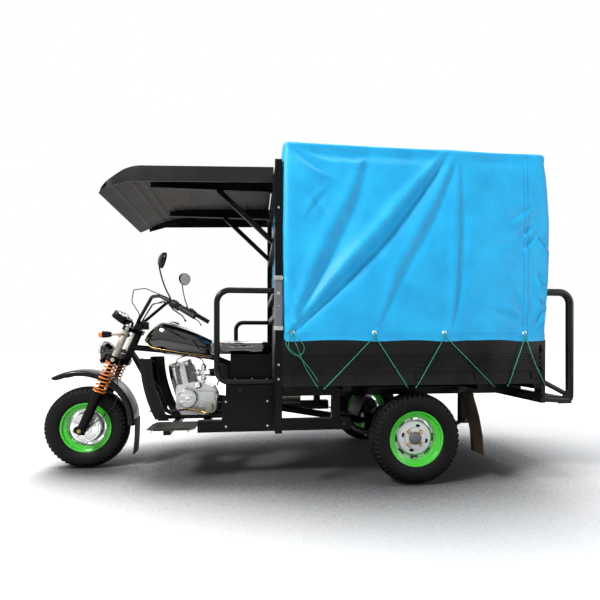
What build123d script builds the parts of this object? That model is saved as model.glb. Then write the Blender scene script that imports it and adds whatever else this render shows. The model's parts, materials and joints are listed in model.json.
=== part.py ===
from build123d import *
import os
from math import asin, atan2, cos, degrees, pi, radians, sin, tan

os.makedirs("parts", exist_ok=True)

# Cargo motor tricycle. +X forward, +Y to the rider's left, +Z up.
# The origin is on the ground, under the middle of the vehicle.

# Overall layout
overall_length = 3344
wheel_base = 2071
tyre_radius = 272.5
tyre_width = 128
rear_wheel_y = 551
front_axle_x = overall_length / 2 - tyre_radius
rear_axle_x = front_axle_x - wheel_base
axle_height = tyre_radius
fork_rake = 23.5
trail_offset = 50
steering_lock = 36

# Fits and clearances
running_gap = 0.08
seat_gap = 0.3
swing_gap = 6
overrun = 5

# Load bed and what stands on it
bed_front_x = rear_axle_x + 800
bed_length = 1560
bed_rear_x = bed_front_x - bed_length
bed_half_width = 640
bed_floor_z = 600
bed_top_z = 860
bed_wall = 30
sheet = 3

# Frame levels
low_rail_z = 300
low_rail_height = 70
high_rail_height = 84
high_rail_top = bed_floor_z - sheet
high_rail_z = high_rail_top - high_rail_height
rail_width = 50
rail_y = 385
rail_inner_y = rail_y - rail_width / 2
rail_outer_y = rail_y + rail_width / 2

# Steering frame: its Z runs up the fork legs from the wheel's axle
rake = radians(fork_rake)
fork_plane = Plane(
    origin=(front_axle_x, 0, axle_height),
    x_dir=(cos(rake), 0, sin(rake)),
    z_dir=(-sin(rake), 0, cos(rake)),
)


def fork_point(ahead, side, along):
    """A point given in the steering frame, as a point of the vehicle."""
    return fork_plane.from_local_coords(Vector(ahead, side, along))


def beam(x_from, x_to, y_from, y_to, z_from, z_to):
    """A straight square-edged bar between two corners, added to the open part."""
    middle = ((x_from + x_to) / 2, (y_from + y_to) / 2, (z_from + z_to) / 2)
    with Locations(middle):
        Box(abs(x_to - x_from), abs(y_to - y_from), abs(z_to - z_from))


def bent_tube(points, bend, radius, mode=Mode.ADD):
    """A round tube along straight runs joined by arcs, added to the open part."""
    with BuildLine(mode=Mode.PRIVATE) as path:
        if len(points) == 2:
            Line(*points)
        else:
            FilletPolyline(*points, radius=bend)
    run = path.line
    with BuildSketch(Plane(origin=run @ 0, z_dir=run % 0), mode=Mode.PRIVATE) as section:
        Circle(radius)
    sweep(sections=section.sketch, path=run, mode=mode)


def bent_bar(points, bend, width, height, mode=Mode.ADD):
    """A rectangular bar along straight runs joined by arcs, added to the open part."""
    with BuildLine(mode=Mode.PRIVATE) as path:
        if len(points) == 2:
            Line(*points)
        else:
            FilletPolyline(*points, radius=bend)
    run = path.line
    with BuildSketch(Plane(origin=run @ 0, x_dir=(0, 1, 0), z_dir=run % 0), mode=Mode.PRIVATE) as section:
        Rectangle(width, height)
    sweep(sections=section.sketch, path=run, mode=mode)


def side_plate(points, y_from, y_to, mode=Mode.ADD):
    """A flat plate with an outline given as X and Z, between two sides, added to the open part."""
    with BuildSketch(Plane.XZ.offset(-y_from), mode=Mode.PRIVATE) as outline:
        with BuildLine():
            Polyline(*points, close=True)
        make_face()
    extrude(outline.sketch, amount=-(y_to - y_from), mode=mode)


# Wheels: 12 inch rims, tyres with shoulder lugs
rim_seat_radius = 152.4
rim_flange_radius = 165
rim_half_width = 46
rim_wall = 4
rim_well_radius = 128
rim_well_half_width = 24
tyre_bead_half_width = 32
tyre_shoulder_radius = 258
tyre_shoulder_half_width = 55
tyre_wall = 11
hub_radius = 30
pad_radius = 62
cap_radius = 40
drum_radius = 96
drum_width = 58
drum_wall = 9
stub_radius = 15
disc_wall = 5
disc_dish = 16
lug_nut_circle = 52
lug_nut_radius = 9
lug_nut_count = 4
oval_circle = 75
oval_length = 27
oval_width = 16
oval_count = 4
oval_turn = -15
slot_circle = 113
slot_length = 48
slot_width = 13
slot_count = 8


def tyre_section(half_width, grow):
    """Half outlines of a tyre's section: bead, side wall, shoulder and crown."""
    crown = tyre_radius - grow
    shoulder = tyre_shoulder_radius - grow
    bead = rim_seat_radius + seat_gap + (grow if grow else 0)
    side = (bead + shoulder) / 2
    bead_y = tyre_bead_half_width - grow
    shoulder_y = tyre_shoulder_half_width - grow
    wide_y = half_width - grow
    return crown, shoulder, bead, side, bead_y, shoulder_y, wide_y


def make_tyre(centre_x, centre_y, height):
    """A hollow tyre round a wheel's axle, its crown one arc and each side wall another."""
    with BuildPart() as tyre:
        with BuildSketch(Plane(origin=(centre_x, centre_y, height), x_dir=(0, 1, 0), z_dir=(1, 0, 0))):
            for grow, mode in ((0, Mode.ADD), (tyre_wall, Mode.SUBTRACT)):
                crown, shoulder, bead, side, bead_y, shoulder_y, wide_y = tyre_section(tyre_width / 2, grow)
                foot = bead - tyre_wall - overrun if grow else bead
                with BuildLine():
                    Line((-bead_y, foot), (bead_y, foot))
                    if grow:
                        Line((bead_y, foot), (bead_y, bead))
                        Line((-bead_y, bead), (-bead_y, foot))
                    ThreePointArc((bead_y, bead), (wide_y, side), (shoulder_y, shoulder))
                    ThreePointArc((shoulder_y, shoulder), (0, crown), (-shoulder_y, shoulder))
                    ThreePointArc((-shoulder_y, shoulder), (-wide_y, side), (-bead_y, bead))
                make_face(mode=mode)
        revolve(axis=Axis((centre_x, centre_y, height), (0, 1, 0)))
    return tyre


def make_rim(centre_x, centre_y, height):
    """The pressed steel rim: two flanges, two bead seats and the well between them."""
    seat, flange, well = rim_seat_radius, rim_flange_radius, rim_well_radius
    wall, half, well_half = rim_wall, rim_half_width, rim_well_half_width
    lip = half + wall
    with BuildPart() as rim:
        with BuildSketch(Plane(origin=(centre_x, centre_y, height), x_dir=(0, 1, 0), z_dir=(1, 0, 0))):
            with BuildLine():
                Polyline(
                    (-lip, flange), (-half, flange), (-half, seat), (-well_half - wall, seat),
                    (-well_half, well), (well_half, well), (well_half + wall, seat), (half, seat),
                    (half, flange), (lip, flange), (lip, seat - wall), (well_half + wall, seat - wall),
                    (well_half, well - wall), (-well_half, well - wall), (-well_half - wall, seat - wall),
                    (-lip, seat - wall), close=True,
                )
            make_face()
        revolve(axis=Axis((centre_x, centre_y, height), (0, 1, 0)))
    return rim


def make_wheel_centre(centre_x, centre_y, height, out, nuts=True):
    """The dished disc inside the rim with its hollow drum, hub, oval holes, slots and nuts.

    out is 1 where the wheel's outer face looks to the left and -1 where it looks to the right.
    """
    edge = rim_well_radius - rim_wall - seat_gap
    wheel_axis = Axis((centre_x, centre_y, height), (0, 1, 0))
    face_y = disc_dish * out
    drum_y = face_y - drum_width * out
    web_y = face_y - drum_wall * out
    pad_y = face_y + disc_wall * out
    hub_y = face_y + disc_dish * out
    with BuildPart() as centre:
        with BuildSketch(Plane(origin=(centre_x, centre_y, height), x_dir=(0, 1, 0), z_dir=(1, 0, 0))):
            with BuildLine():
                Polyline(
                    (drum_y, stub_radius + running_gap), (drum_y, hub_radius), (web_y, hub_radius),
                    (web_y, drum_radius - drum_wall), (drum_y, drum_radius - drum_wall), (drum_y, drum_radius),
                    (face_y - disc_wall * out, drum_radius), (0, drum_radius + disc_dish / 2),
                    (0, edge), (disc_wall * out, edge), (disc_wall * out, drum_radius + disc_dish),
                    (face_y, drum_radius), (face_y, pad_radius + sheet), (pad_y, pad_radius),
                    (pad_y, cap_radius), (hub_y - sheet * out, cap_radius - sheet), (hub_y, cap_radius - sheet * 2),
                    (hub_y, stub_radius + running_gap), close=True,
                )
            make_face()
        revolve(axis=wheel_axis)
        face = Plane(origin=(centre_x, centre_y, height), x_dir=(1, 0, 0), z_dir=(0, out, 0))
        if nuts:
            with BuildSketch(face.offset(disc_dish)):
                with PolarLocations(lug_nut_circle, lug_nut_count, start_angle=45):
                    RegularPolygon(lug_nut_radius, 6)
            extrude(amount=disc_dish)
        with BuildSketch(face.offset(-overrun)):
            with PolarLocations(slot_circle, slot_count):
                SlotOverall(slot_length, slot_width, rotation=90)
            with PolarLocations(oval_circle, oval_count, start_angle=oval_turn):
                SlotOverall(oval_length, oval_width, rotation=90)
        extrude(amount=disc_dish + overrun * 2, mode=Mode.SUBTRACT)
    return centre


wheel_table = (
    # name, centre x, centre y, side the outer face looks to
    ("front", front_axle_x, 0, -1),
    ("rear_left", rear_axle_x, rear_wheel_y, 1),
    ("rear_right", rear_axle_x, -rear_wheel_y, -1),
)
for wheel_name, wheel_x, wheel_y, wheel_out in wheel_table:
    tyre = make_tyre(wheel_x, wheel_y, axle_height)
    tyre.part.label = f"tyre_{wheel_name}"
    export_step(tyre.part, f"parts/tyre_{wheel_name}.step")
    rim = make_rim(wheel_x, wheel_y, axle_height)
    rim.part.label = f"rim_{wheel_name}"
    export_step(rim.part, f"parts/rim_{wheel_name}.step")
    wheel_centre = make_wheel_centre(wheel_x, wheel_y, axle_height, wheel_out, wheel_name != "front")
    wheel_centre.part.label = f"wheel_centre_{wheel_name}"
    export_step(wheel_centre.part, f"parts/wheel_centre_{wheel_name}.step")

# Fork: legs, clamps and the stem that turns in the head tube
leg_y = 116
leg_radius = 30
stanchion_radius = 16.5
leg_top = 262
leg_foot = -24
spring_foot = 268
spring_top = 478
spring_radius = 42
spring_wire = 10
spring_turns = 8
lower_clamp = 482
lower_clamp_height = 40
upper_clamp = 706
clamp_height = 28
clamp_radius = 31
cover_radius = 22
stem_radius = 14
stem_behind = trail_offset
fork_axle_radius = stub_radius

with BuildPart() as fork:
    for side in (-1, 1):
        with BuildSketch(fork_plane.offset(leg_foot)):
            with Locations((0, side * leg_y)):
                Circle(leg_radius)
        extrude(amount=leg_top - leg_foot)
        with BuildSketch(fork_plane.offset(leg_top)):
            with Locations((0, side * leg_y)):
                Circle(stanchion_radius)
        extrude(amount=upper_clamp + clamp_height - leg_top)
        with BuildSketch(fork_plane.offset(leg_top)):
            with Locations((0, side * leg_y)):
                Circle(spring_radius)
        extrude(amount=spring_foot - leg_top)
    for clamp_foot, clamp_rise, clamp_reach in (
        (lower_clamp, lower_clamp_height, spring_radius),
        (upper_clamp, clamp_height, clamp_radius),
    ):
        with BuildSketch(fork_plane.offset(clamp_foot)):
            with Locations((0, leg_y), (0, -leg_y)):
                Circle(clamp_reach)
            with BuildLine():
                Polyline(
                    (clamp_reach * 0.7, leg_y), (clamp_reach * 0.7, -leg_y), (-clamp_reach / 2, -leg_y),
                    (-stem_behind - stem_radius * 2, -stem_radius * 2),
                    (-stem_behind - stem_radius * 2, stem_radius * 2), (-clamp_reach / 2, leg_y), close=True,
                )
            make_face()
        extrude(amount=clamp_rise)
    with BuildSketch(fork_plane.offset(lower_clamp)):
        with Locations((-stem_behind, 0)):
            Circle(stem_radius)
    extrude(amount=upper_clamp - lower_clamp)
    with BuildSketch(Plane.XZ.offset(-leg_y)):
        with Locations((front_axle_x, axle_height)):
            Circle(fork_axle_radius)
    extrude(amount=leg_y * 2)
fork.part.label = "fork"
export_step(fork.part, "parts/fork.step")

with BuildPart() as fork_springs:
    spring_pitch = (spring_top - spring_foot) / (spring_turns + 1)
    for side in (-1, 1):
        with BuildSketch(fork_plane.offset(spring_foot)):
            with Locations((0, side * leg_y)):
                Circle(spring_radius - spring_wire / 2)
                Circle(stanchion_radius + spring_wire, mode=Mode.SUBTRACT)
        extrude(amount=lower_clamp - spring_foot)
        spring_axis = Axis(fork_point(0, side * leg_y, 0), fork_plane.z_dir)
        with BuildSketch(Plane(origin=fork_point(0, side * leg_y, 0), x_dir=fork_plane.x_dir, z_dir=(0, -1, 0))):
            for turn in range(1, spring_turns + 1):
                with Locations((spring_radius - spring_wire / 2, spring_foot + turn * spring_pitch)):
                    Circle(spring_wire / 2)
        revolve(axis=spring_axis)
fork_springs.part.label = "fork_springs"
export_step(fork_springs.part, "parts/fork_springs.step")

with BuildPart() as fork_covers:
    rib_count = 8
    cover_foot = lower_clamp + lower_clamp_height
    cover_length = upper_clamp - cover_foot
    rib_pitch = cover_length / rib_count
    rib_height = 2.5
    for side in (-1, 1):
        with BuildSketch(fork_plane.offset(cover_foot)):
            with Locations((0, side * leg_y)):
                Circle(cover_radius - rib_height)
                Circle(stanchion_radius + seat_gap, mode=Mode.SUBTRACT)
        extrude(amount=cover_length)
        for rib in range(rib_count):
            with BuildSketch(fork_plane.offset(cover_foot + rib * rib_pitch + rib_pitch / 4)):
                with Locations((0, side * leg_y)):
                    Circle(cover_radius)
                    Circle(stanchion_radius + seat_gap, mode=Mode.SUBTRACT)
            extrude(amount=rib_pitch / 2)
fork_covers.part.label = "fork_covers"
export_step(fork_covers.part, "parts/fork_covers.step")

# Front brake plate, held against the left fork leg
plate_y = drum_width - disc_dish
brake_plate_gap = swing_gap
with BuildPart() as front_brake:
    with BuildSketch(Plane.XZ.offset(-plate_y - brake_plate_gap)):
        with Locations((front_axle_x, axle_height)):
            Circle(drum_radius)
            Circle(stub_radius + seat_gap, mode=Mode.SUBTRACT)
    extrude(amount=-disc_wall)
    with BuildSketch(Plane.XZ.offset(-plate_y - brake_plate_gap - disc_wall)):
        with Locations((front_axle_x, axle_height)):
            Circle(stub_radius + disc_dish / 2)
            Circle(stub_radius + seat_gap, mode=Mode.SUBTRACT)
    extrude(amount=-(leg_y - leg_radius - plate_y - brake_plate_gap - disc_wall - seat_gap))
front_brake.part.label = "front_brake"
export_step(front_brake.part, "parts/front_brake.step")

# Front mudguard with its rubber flap
guard_radius = 349
guard_half_width = 66.7
guard_skirt = 38
guard_sheet = 3
guard_front_angle = 60
guard_rear_angle = 184
guard_centre_x = front_axle_x + 31
guard_centre_z = axle_height + 37
stay_along = 238
stay_top = 356
stay_half = 16
flap_sheet = 5
with BuildPart() as front_mudguard:
    with BuildSketch(Plane.XZ):
        with BuildLine():
            outer = CenterArc((guard_centre_x, guard_centre_z), guard_radius, guard_front_angle,
                              guard_rear_angle - guard_front_angle)
            inner = CenterArc((guard_centre_x, guard_centre_z), guard_radius - guard_sheet, guard_front_angle,
                              guard_rear_angle - guard_front_angle)
            Line(outer @ 0, inner @ 0)
            Line(outer @ 1, inner @ 1)
        make_face()
    extrude(amount=guard_half_width, both=True)
    with BuildSketch(Plane.XZ):
        with BuildLine():
            outer = CenterArc((guard_centre_x, guard_centre_z), guard_radius, guard_front_angle,
                              guard_rear_angle - guard_front_angle)
            inner = CenterArc((guard_centre_x, guard_centre_z), guard_radius - guard_skirt, guard_front_angle,
                              guard_rear_angle - guard_front_angle)
            Line(outer @ 0, inner @ 0)
            Line(outer @ 1, inner @ 1)
        make_face()
    extrude(amount=guard_half_width + guard_sheet, both=True)
    with BuildSketch(Plane.XZ):
        with Locations((guard_centre_x, guard_centre_z)):
            Circle(guard_radius - guard_sheet)
    extrude(amount=guard_half_width, both=True, mode=Mode.SUBTRACT)
    stay_outline = [fork_point(ahead, 0, along) for ahead, along in (
        (-stay_half, stay_along - stay_half), (stay_half, stay_along - stay_half), (stay_half, stay_top),
        (-stay_half, stay_top),
    )]
    stay_y = guard_half_width + guard_sheet
    for side in (-1, 1):
        side_plate(tuple((point.X, point.Z) for point in stay_outline), min(side * guard_half_width, side * stay_y),
                   max(side * guard_half_width, side * stay_y))
        boss = fork_point(0, 0, stay_along)
        boss_end = leg_y - leg_radius - seat_gap
        with BuildSketch(Plane.XZ.offset(-side * stay_y)):
            with Locations((boss.X, boss.Z)):
                Circle(stay_half * 0.75)
        extrude(amount=-side * (boss_end - stay_y))
front_mudguard.part.label = "front_mudguard"
export_step(front_mudguard.part, "parts/front_mudguard.step")

front_flap_half_width = 60
front_flap_x = guard_centre_x - guard_radius - seat_gap
front_flap_route = (
    (front_flap_x, guard_centre_z + 16), (front_flap_x, guard_centre_z - 24),
    (front_flap_x + 3, guard_centre_z - 120), (front_flap_x + 12, 87),
)
with BuildPart() as front_flap:
    side_plate(front_flap_route + tuple((x - flap_sheet, z) for x, z in front_flap_route[::-1]),
               -front_flap_half_width, front_flap_half_width)
front_flap.part.label = "front_flap"
export_step(front_flap.part, "parts/front_flap.step")

# Handlebar with grips, levers, mirrors, lamps and instrument
bar_radius = 11
bar_middle = fork_point(-30, 0, 785)
riser_y = 40
bar_bend_y = 70
bar_rise_x = rear_axle_x + 1600
bar_rise_y = 230
bar_rise_z = 1135
bar_back_x = rear_axle_x + 1535
bar_back_y = 305
bar_back_z = 1132
bar_end_x = rear_axle_x + 1312
bar_end_y = 395
bar_end_z = 1000
bar_bends = (40, 60, 55, 55, 60, 40)
grip_length = 125
grip_radius = 17
grip_wall = grip_radius - bar_radius - seat_gap


def bar_route(side):
    """The handlebar's corners on one side, from its middle to its end."""
    return (
        (bar_middle.X, side * bar_bend_y, bar_middle.Z),
        (bar_rise_x, side * bar_rise_y, bar_rise_z),
        (bar_back_x, side * bar_back_y, bar_back_z),
        (bar_end_x, side * bar_end_y, bar_end_z),
    )


def bar_end_plane(side, inward):
    """A plane square to the bar's last run, the given length in from its end."""
    start = Vector(*bar_route(side)[-2])
    end = Vector(*bar_route(side)[-1])
    along = (end - start).normalized()
    return Plane(origin=end - along * inward, z_dir=along)


with BuildPart() as handlebar:
    bent_tube(bar_route(1)[::-1] + bar_route(-1), bar_bends, bar_radius)
    for side in (-1, 1):
        with BuildSketch(fork_plane.offset(upper_clamp + clamp_height)):
            with Locations((-30, side * riser_y)):
                Circle(bar_radius + sheet)
        extrude(amount=785 - upper_clamp - clamp_height)
handlebar.part.label = "handlebar"
export_step(handlebar.part, "parts/handlebar.step")

lever_length = 150
lever_drop = 26
lever_thick = 9
switch_length = 55
with BuildPart() as hand_controls:
    for side in (-1, 1):
        with BuildSketch(bar_end_plane(side, grip_length - sheet)):
            Circle(grip_radius)
            Circle(bar_radius + seat_gap, mode=Mode.SUBTRACT)
        extrude(amount=grip_length)
        switch_plane = bar_end_plane(side, grip_length + switch_length)
        with BuildSketch(switch_plane):
            RectangleRounded(grip_radius * 2.4, grip_radius * 2.4, grip_radius / 2)
            Circle(bar_radius + seat_gap, mode=Mode.SUBTRACT)
        extrude(amount=switch_length - sheet)
        run = switch_plane.z_dir
        away = Vector(-run.Z, 0, run.X).normalized()
        lever_root = switch_plane.origin + run * (switch_length / 2) + away * grip_radius
        lever_start = lever_root + away * lever_drop
        bent_tube((lever_root, lever_start, lever_start + run * lever_length), lever_drop / 2, lever_thick / 2)
hand_controls.part.label = "hand_controls"
export_step(hand_controls.part, "parts/hand_controls.step")

# Control cables, held by the switch block, the clamps and the front brake
cable_radius = 3
cable_corner = 15.5
cable_lead = 45
cable_bend = 18
loop_bend = 40
loop_rise = 96
loop_ahead = -6
loop_route = (
    (rear_axle_x + 1640, 240, 1185), (rear_axle_x + 1735, 150, 1185), (rear_axle_x + 1772, 60, 1115),
)
twin_routes = (
    ((rear_axle_x + 1600, 196, 1092), (rear_axle_x + 1690, 75, 1000)),
    ((rear_axle_x + 1606, 214, 1082), (rear_axle_x + 1694, 88, 992)),
)
twin_ends = ((-60, 46), (-50, 58))
brake_cable_y = 78
brake_cable_ahead = -34
brake_cable_route = (
    (rear_axle_x + 1852, 500), (rear_axle_x + 1880, 420), (rear_axle_x + 1958, 342), (rear_axle_x + 2049, 282),
)
block_face = bar_end_plane(1, grip_length + switch_length)
clamp_top = upper_clamp + clamp_height
with BuildPart() as control_cables:
    corners = sorted(
        (block_face.from_local_coords(Vector(across, up, -seat_gap)) for across in (-cable_corner, cable_corner)
         for up in (-cable_corner, cable_corner)),
        key=lambda corner: corner.Z,
    )
    lead = -block_face.z_dir * cable_lead
    loop_foot = fork_point(loop_ahead, 0, clamp_top + seat_gap)
    loop_above = fork_point(loop_ahead, 0, clamp_top + loop_rise)
    bent_tube((corners[2], corners[2] + lead, *loop_route, loop_above, loop_foot), loop_bend, cable_radius)
    for corner, route, (ahead, side_y) in zip(corners[:2], twin_routes, twin_ends):
        above = fork_point(ahead, side_y, clamp_top + cable_lead)
        foot = fork_point(ahead, side_y, clamp_top + seat_gap)
        bent_tube((corner, corner + lead, *route, above, foot), cable_bend, cable_radius)
    clamp_face = fork_point(brake_cable_ahead, brake_cable_y, lower_clamp - seat_gap)
    clamp_lead = fork_point(brake_cable_ahead, brake_cable_y, lower_clamp - seat_gap - cable_lead)
    bent_tube((clamp_face, clamp_lead, *((x, brake_cable_y, z) for x, z in brake_cable_route)), cable_bend,
              cable_radius)
control_cables.part.label = "control_cables"
export_step(control_cables.part, "parts/control_cables.step")

mirror_width = 150
mirror_height = 100
mirror_thick = 24
mirror_centre_x = rear_axle_x + 1495
mirror_centre_y = 395
mirror_centre_z = 1335
mirror_stem_radius = 5
perch_inward = 204
perch_length = 16
with BuildPart() as mirrors:
    for side in (-1, 1):
        head = Plane(origin=(mirror_centre_x, side * mirror_centre_y, mirror_centre_z), x_dir=(0, 1, 0),
                     z_dir=(-1, 0, -0.3))
        with BuildSketch(head.offset(-mirror_thick / 2)):
            Ellipse(mirror_width / 2, mirror_height / 2)
        extrude(amount=mirror_thick)
        with BuildSketch(bar_end_plane(side, perch_inward)):
            Circle(grip_radius)
            Circle(bar_radius + seat_gap, mode=Mode.SUBTRACT)
        extrude(amount=perch_length)
        perch = bar_end_plane(side, perch_inward - perch_length / 2).origin
        stem_head = Vector(mirror_centre_x, side * mirror_centre_y, mirror_centre_z - mirror_height / 3)
        rise = (stem_head - perch).normalized()
        bent_tube((perch + rise * (grip_radius - sheet), stem_head), 0, mirror_stem_radius)
mirrors.part.label = "mirrors"
export_step(mirrors.part, "parts/mirrors.step")

lamp_radius = 78
lamp_depth = 76
lamp_front_x = rear_axle_x + 1974
lamp_z = 775
lamp_wall = 4
ear_height = 24
ear_low = 769
with BuildPart() as headlamp:
    with BuildSketch(Plane.XZ):
        with BuildLine():
            Polyline((lamp_front_x - lamp_depth, lamp_z), (lamp_front_x, lamp_z), (lamp_front_x, lamp_z + lamp_radius),
                     (lamp_front_x - lamp_depth * 0.4, lamp_z + lamp_radius))
            ThreePointArc(
                (lamp_front_x - lamp_depth * 0.4, lamp_z + lamp_radius),
                (lamp_front_x - lamp_depth * 0.72, lamp_z + lamp_radius * 0.66),
                (lamp_front_x - lamp_depth, lamp_z + lamp_radius * 0.2),
            )
            Line((lamp_front_x - lamp_depth, lamp_z + lamp_radius * 0.2), (lamp_front_x - lamp_depth, lamp_z))
        make_face()
    revolve(axis=Axis((lamp_front_x, 0, lamp_z), (1, 0, 0)))
    ear_y = leg_y - cover_radius - seat_gap
    for side in (-1, 1):
        beam(lamp_front_x - lamp_depth * 1.65, lamp_front_x - lamp_wall, side * (lamp_radius - lamp_wall),
             side * ear_y, ear_low, ear_low + ear_height)
headlamp.part.label = "headlamp"
export_step(headlamp.part, "parts/headlamp.step")

dial_length = 112
dial_width = 150
dial_height = 52
dial_tilt = 38
dial_centre = (rear_axle_x + 1850, 0, 1010)
with BuildPart() as instrument:
    tilt = radians(dial_tilt)
    dial_plane = Plane(origin=dial_centre, x_dir=(0, 1, 0), z_dir=(-sin(tilt), 0, cos(tilt)))
    with BuildSketch(dial_plane.offset(-dial_height / 2)):
        RectangleRounded(dial_width, dial_length, dial_height / 2)
    extrude(amount=dial_height, taper=4)
    foot = fork_point(12, 0, upper_clamp + clamp_height + seat_gap)
    knee = fork_point(12, 0, upper_clamp + clamp_height + dial_height * 0.6)
    bent_bar((foot, knee, Vector(*dial_centre)), clamp_height / 3, dial_height, lever_thick)
instrument.part.label = "instrument"
export_step(instrument.part, "parts/instrument.step")

signal_length = 76
signal_width = 58
signal_height = 44
signal_stalk_radius = 7
signal_z = 894
signal_stalk_y = leg_y + cover_radius + seat_gap
signal_y = 196
with BuildPart() as turn_signals:
    stalk_x = front_axle_x - (signal_z - axle_height) * tan(rake)
    for side in (-1, 1):
        signal_x = stalk_x + signal_length * 1.25
        bent_tube(((stalk_x, side * signal_stalk_y, signal_z), (stalk_x, side * signal_y, signal_z),
                   (signal_x, side * signal_y, signal_z)), signal_stalk_radius * 2, signal_stalk_radius)
        with BuildSketch(Plane.YZ.offset(signal_x - signal_length / 2)):
            with Locations((side * signal_y, signal_z)):
                RectangleRounded(signal_width, signal_height, signal_height / 3)
        extrude(amount=signal_length, taper=6)
turn_signals.part.label = "turn_signals"
export_step(turn_signals.part, "parts/turn_signals.step")

# Ladder frame
low_rail_front_x = rear_axle_x + 1295
high_rail_front_x = rear_axle_x + 1092
spring_reach = 400
spring_eye_z = 340
spring_eye_radius = 18
spring_width = 48
leaf_thick = 8
leaf_count = 4
axle_tube_radius = 32
hanger_length = 45
cheek = 6
leaf_middle_z = axle_height - axle_tube_radius - leaf_thick
cross_table = (
    # how far ahead of the rear axle, depth of the member, half its length
    (1042, 60, rail_y), (770, 60, bed_half_width), (430, 60, bed_half_width),
    (0, 44, rail_y), (-380, 60, bed_half_width), (-735, 60, bed_half_width),
)
with BuildPart() as chassis_frame:
    for side in (-1, 1):
        beam(rear_axle_x + spring_reach + hanger_length, low_rail_front_x, side * rail_inner_y,
             side * rail_outer_y, low_rail_z, low_rail_z + low_rail_height)
        beam(bed_rear_x, high_rail_front_x, side * rail_inner_y, side * rail_outer_y, high_rail_z, high_rail_top)
        for upright_ahead in (spring_reach + hanger_length / 2, 815, 1067):
            beam(rear_axle_x + upright_ahead, rear_axle_x + upright_ahead + rail_width, side * rail_inner_y,
                 side * rail_outer_y, low_rail_z, high_rail_top)
        for cheek_y in (rail_y - spring_width / 2 - seat_gap - cheek, rail_y + spring_width / 2 + seat_gap):
            beam(rear_axle_x + spring_reach - hanger_length, rear_axle_x + spring_reach + hanger_length,
                 side * cheek_y, side * (cheek_y + cheek), low_rail_z, low_rail_z + low_rail_height)
            beam(rear_axle_x - spring_reach - hanger_length / 2, rear_axle_x - spring_reach + hanger_length / 2,
                 side * cheek_y, side * (cheek_y + cheek), spring_eye_z - spring_eye_radius, high_rail_top - cheek)
    for ahead, depth, reach in cross_table:
        beam(rear_axle_x + ahead - rail_width / 2, rear_axle_x + ahead + rail_width / 2, -rail_y, rail_y,
             high_rail_top - depth, high_rail_top)
        beam(rear_axle_x + ahead - rail_width / 2, rear_axle_x + ahead + rail_width / 2, -reach, reach,
             high_rail_top - bed_wall, high_rail_top)
    beam(low_rail_front_x - rail_width, low_rail_front_x, -rail_y, rail_y, low_rail_z, low_rail_z + rail_width / 2)
chassis_frame.part.label = "chassis_frame"
export_step(chassis_frame.part, "parts/chassis_frame.step")

# Steering head, backbone, down tubes and engine cradle
cradle_radius = 14
backbone_radius = 20
cradle_y = 75
cradle_z = low_rail_z + rail_width / 2 + seat_gap + cradle_radius
cradle_front_x = rear_axle_x + 1572
cradle_rear_x = rear_axle_x + 1135
head_tube_wall = 9
head_gap = 0.6
head_low = lower_clamp + lower_clamp_height + head_gap
head_high = upper_clamp - head_gap
down_tube_along = 575
down_tube_behind = stem_behind + 8
with BuildPart() as front_frame:
    backbone_front = fork_point(-stem_behind, 0, 605)
    bent_tube((backbone_front, (rear_axle_x + 1600, 0, 790), (rear_axle_x + 1240, 0, 738),
               (rear_axle_x + 1120, 0, 690)), (90, 200), backbone_radius)
    for side in (-1, 1):
        down_start = fork_point(-down_tube_behind, side * cradle_radius, down_tube_along)
        bent_tube((down_start, (rear_axle_x + 1625, side * cradle_y, 500), (cradle_front_x, side * cradle_y, cradle_z),
                   (cradle_rear_x, side * cradle_y, cradle_z), (cradle_rear_x, side * cradle_y, 560),
                   (rear_axle_x + 1190, side * cradle_radius, 716)), (70, 70, 50, 40), cradle_radius)
    beam(cradle_front_x - 130, cradle_front_x - 90, -470, 470, cradle_z - cradle_radius - rail_width / 2 + sheet,
         cradle_z - cradle_radius + sheet)
    beam(cradle_rear_x - cradle_radius, cradle_rear_x + cradle_radius, -cradle_y, cradle_y, cradle_z - sheet,
         cradle_z + cradle_radius)
    with BuildSketch(fork_plane.offset(head_low)):
        with Locations((-stem_behind, 0)):
            Circle(stem_radius + head_tube_wall)
    extrude(amount=head_high - head_low)
    with BuildSketch(fork_plane.offset(head_low)):
        with Locations((-stem_behind, 0)):
            Circle(stem_radius + running_gap)
    extrude(amount=head_high - head_low, mode=Mode.SUBTRACT)
front_frame.part.label = "front_frame"
export_step(front_frame.part, "parts/front_frame.step")

# Engine
case_half_width = 88
case_bottom = cradle_z + cradle_radius + seat_gap
cylinder_lean = 12
fin_count = 9
fin_size = 150
fin_thick = 4
fin_pitch = 13
barrel_radius = 48
cover_draft = 4
cover_round = 8
cover_table = (
    # how far ahead of the rear axle, height, radius, side, how far it stands out
    (1396, 470, 64, 1, 42), (1330, 552, 24, 1, 26), (1380, 465, 78, -1, 44), (1275, 450, 54, -1, 30),
)
gear_cover_x = rear_axle_x + 1271
gear_cover_z = 476
gear_cover_length = 104
gear_cover_height = 70
gear_cover_out = 24
gear_rib_count = 4
gear_rib_pitch = 16
gear_rib_width = 6
gear_rib_height = 6
chain_case_width = 44
chain_case_depth = 30
head_round = 14
carburettor_x = rear_axle_x + 1300
carburettor_y = 34
carburettor_z = 632
carburettor_length = 84
carburettor_radius = 24
bowl_radius = 19
bowl_foot = 580
intake_radius = 17
cylinder_foot = (rear_axle_x + 1410, 0, 540)
head_height = 62
lean = radians(cylinder_lean)
barrel_plane = Plane(origin=cylinder_foot, x_dir=(cos(lean), 0, -sin(lean)), z_dir=(sin(lean), 0, cos(lean)))
barrel_foot = 24
barrel_height = barrel_foot + fin_count * fin_pitch
deck_front = barrel_plane.from_local_coords(Vector(60, 0, barrel_foot))
deck_rear = barrel_plane.from_local_coords(Vector(-60, 0, barrel_foot))
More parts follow.
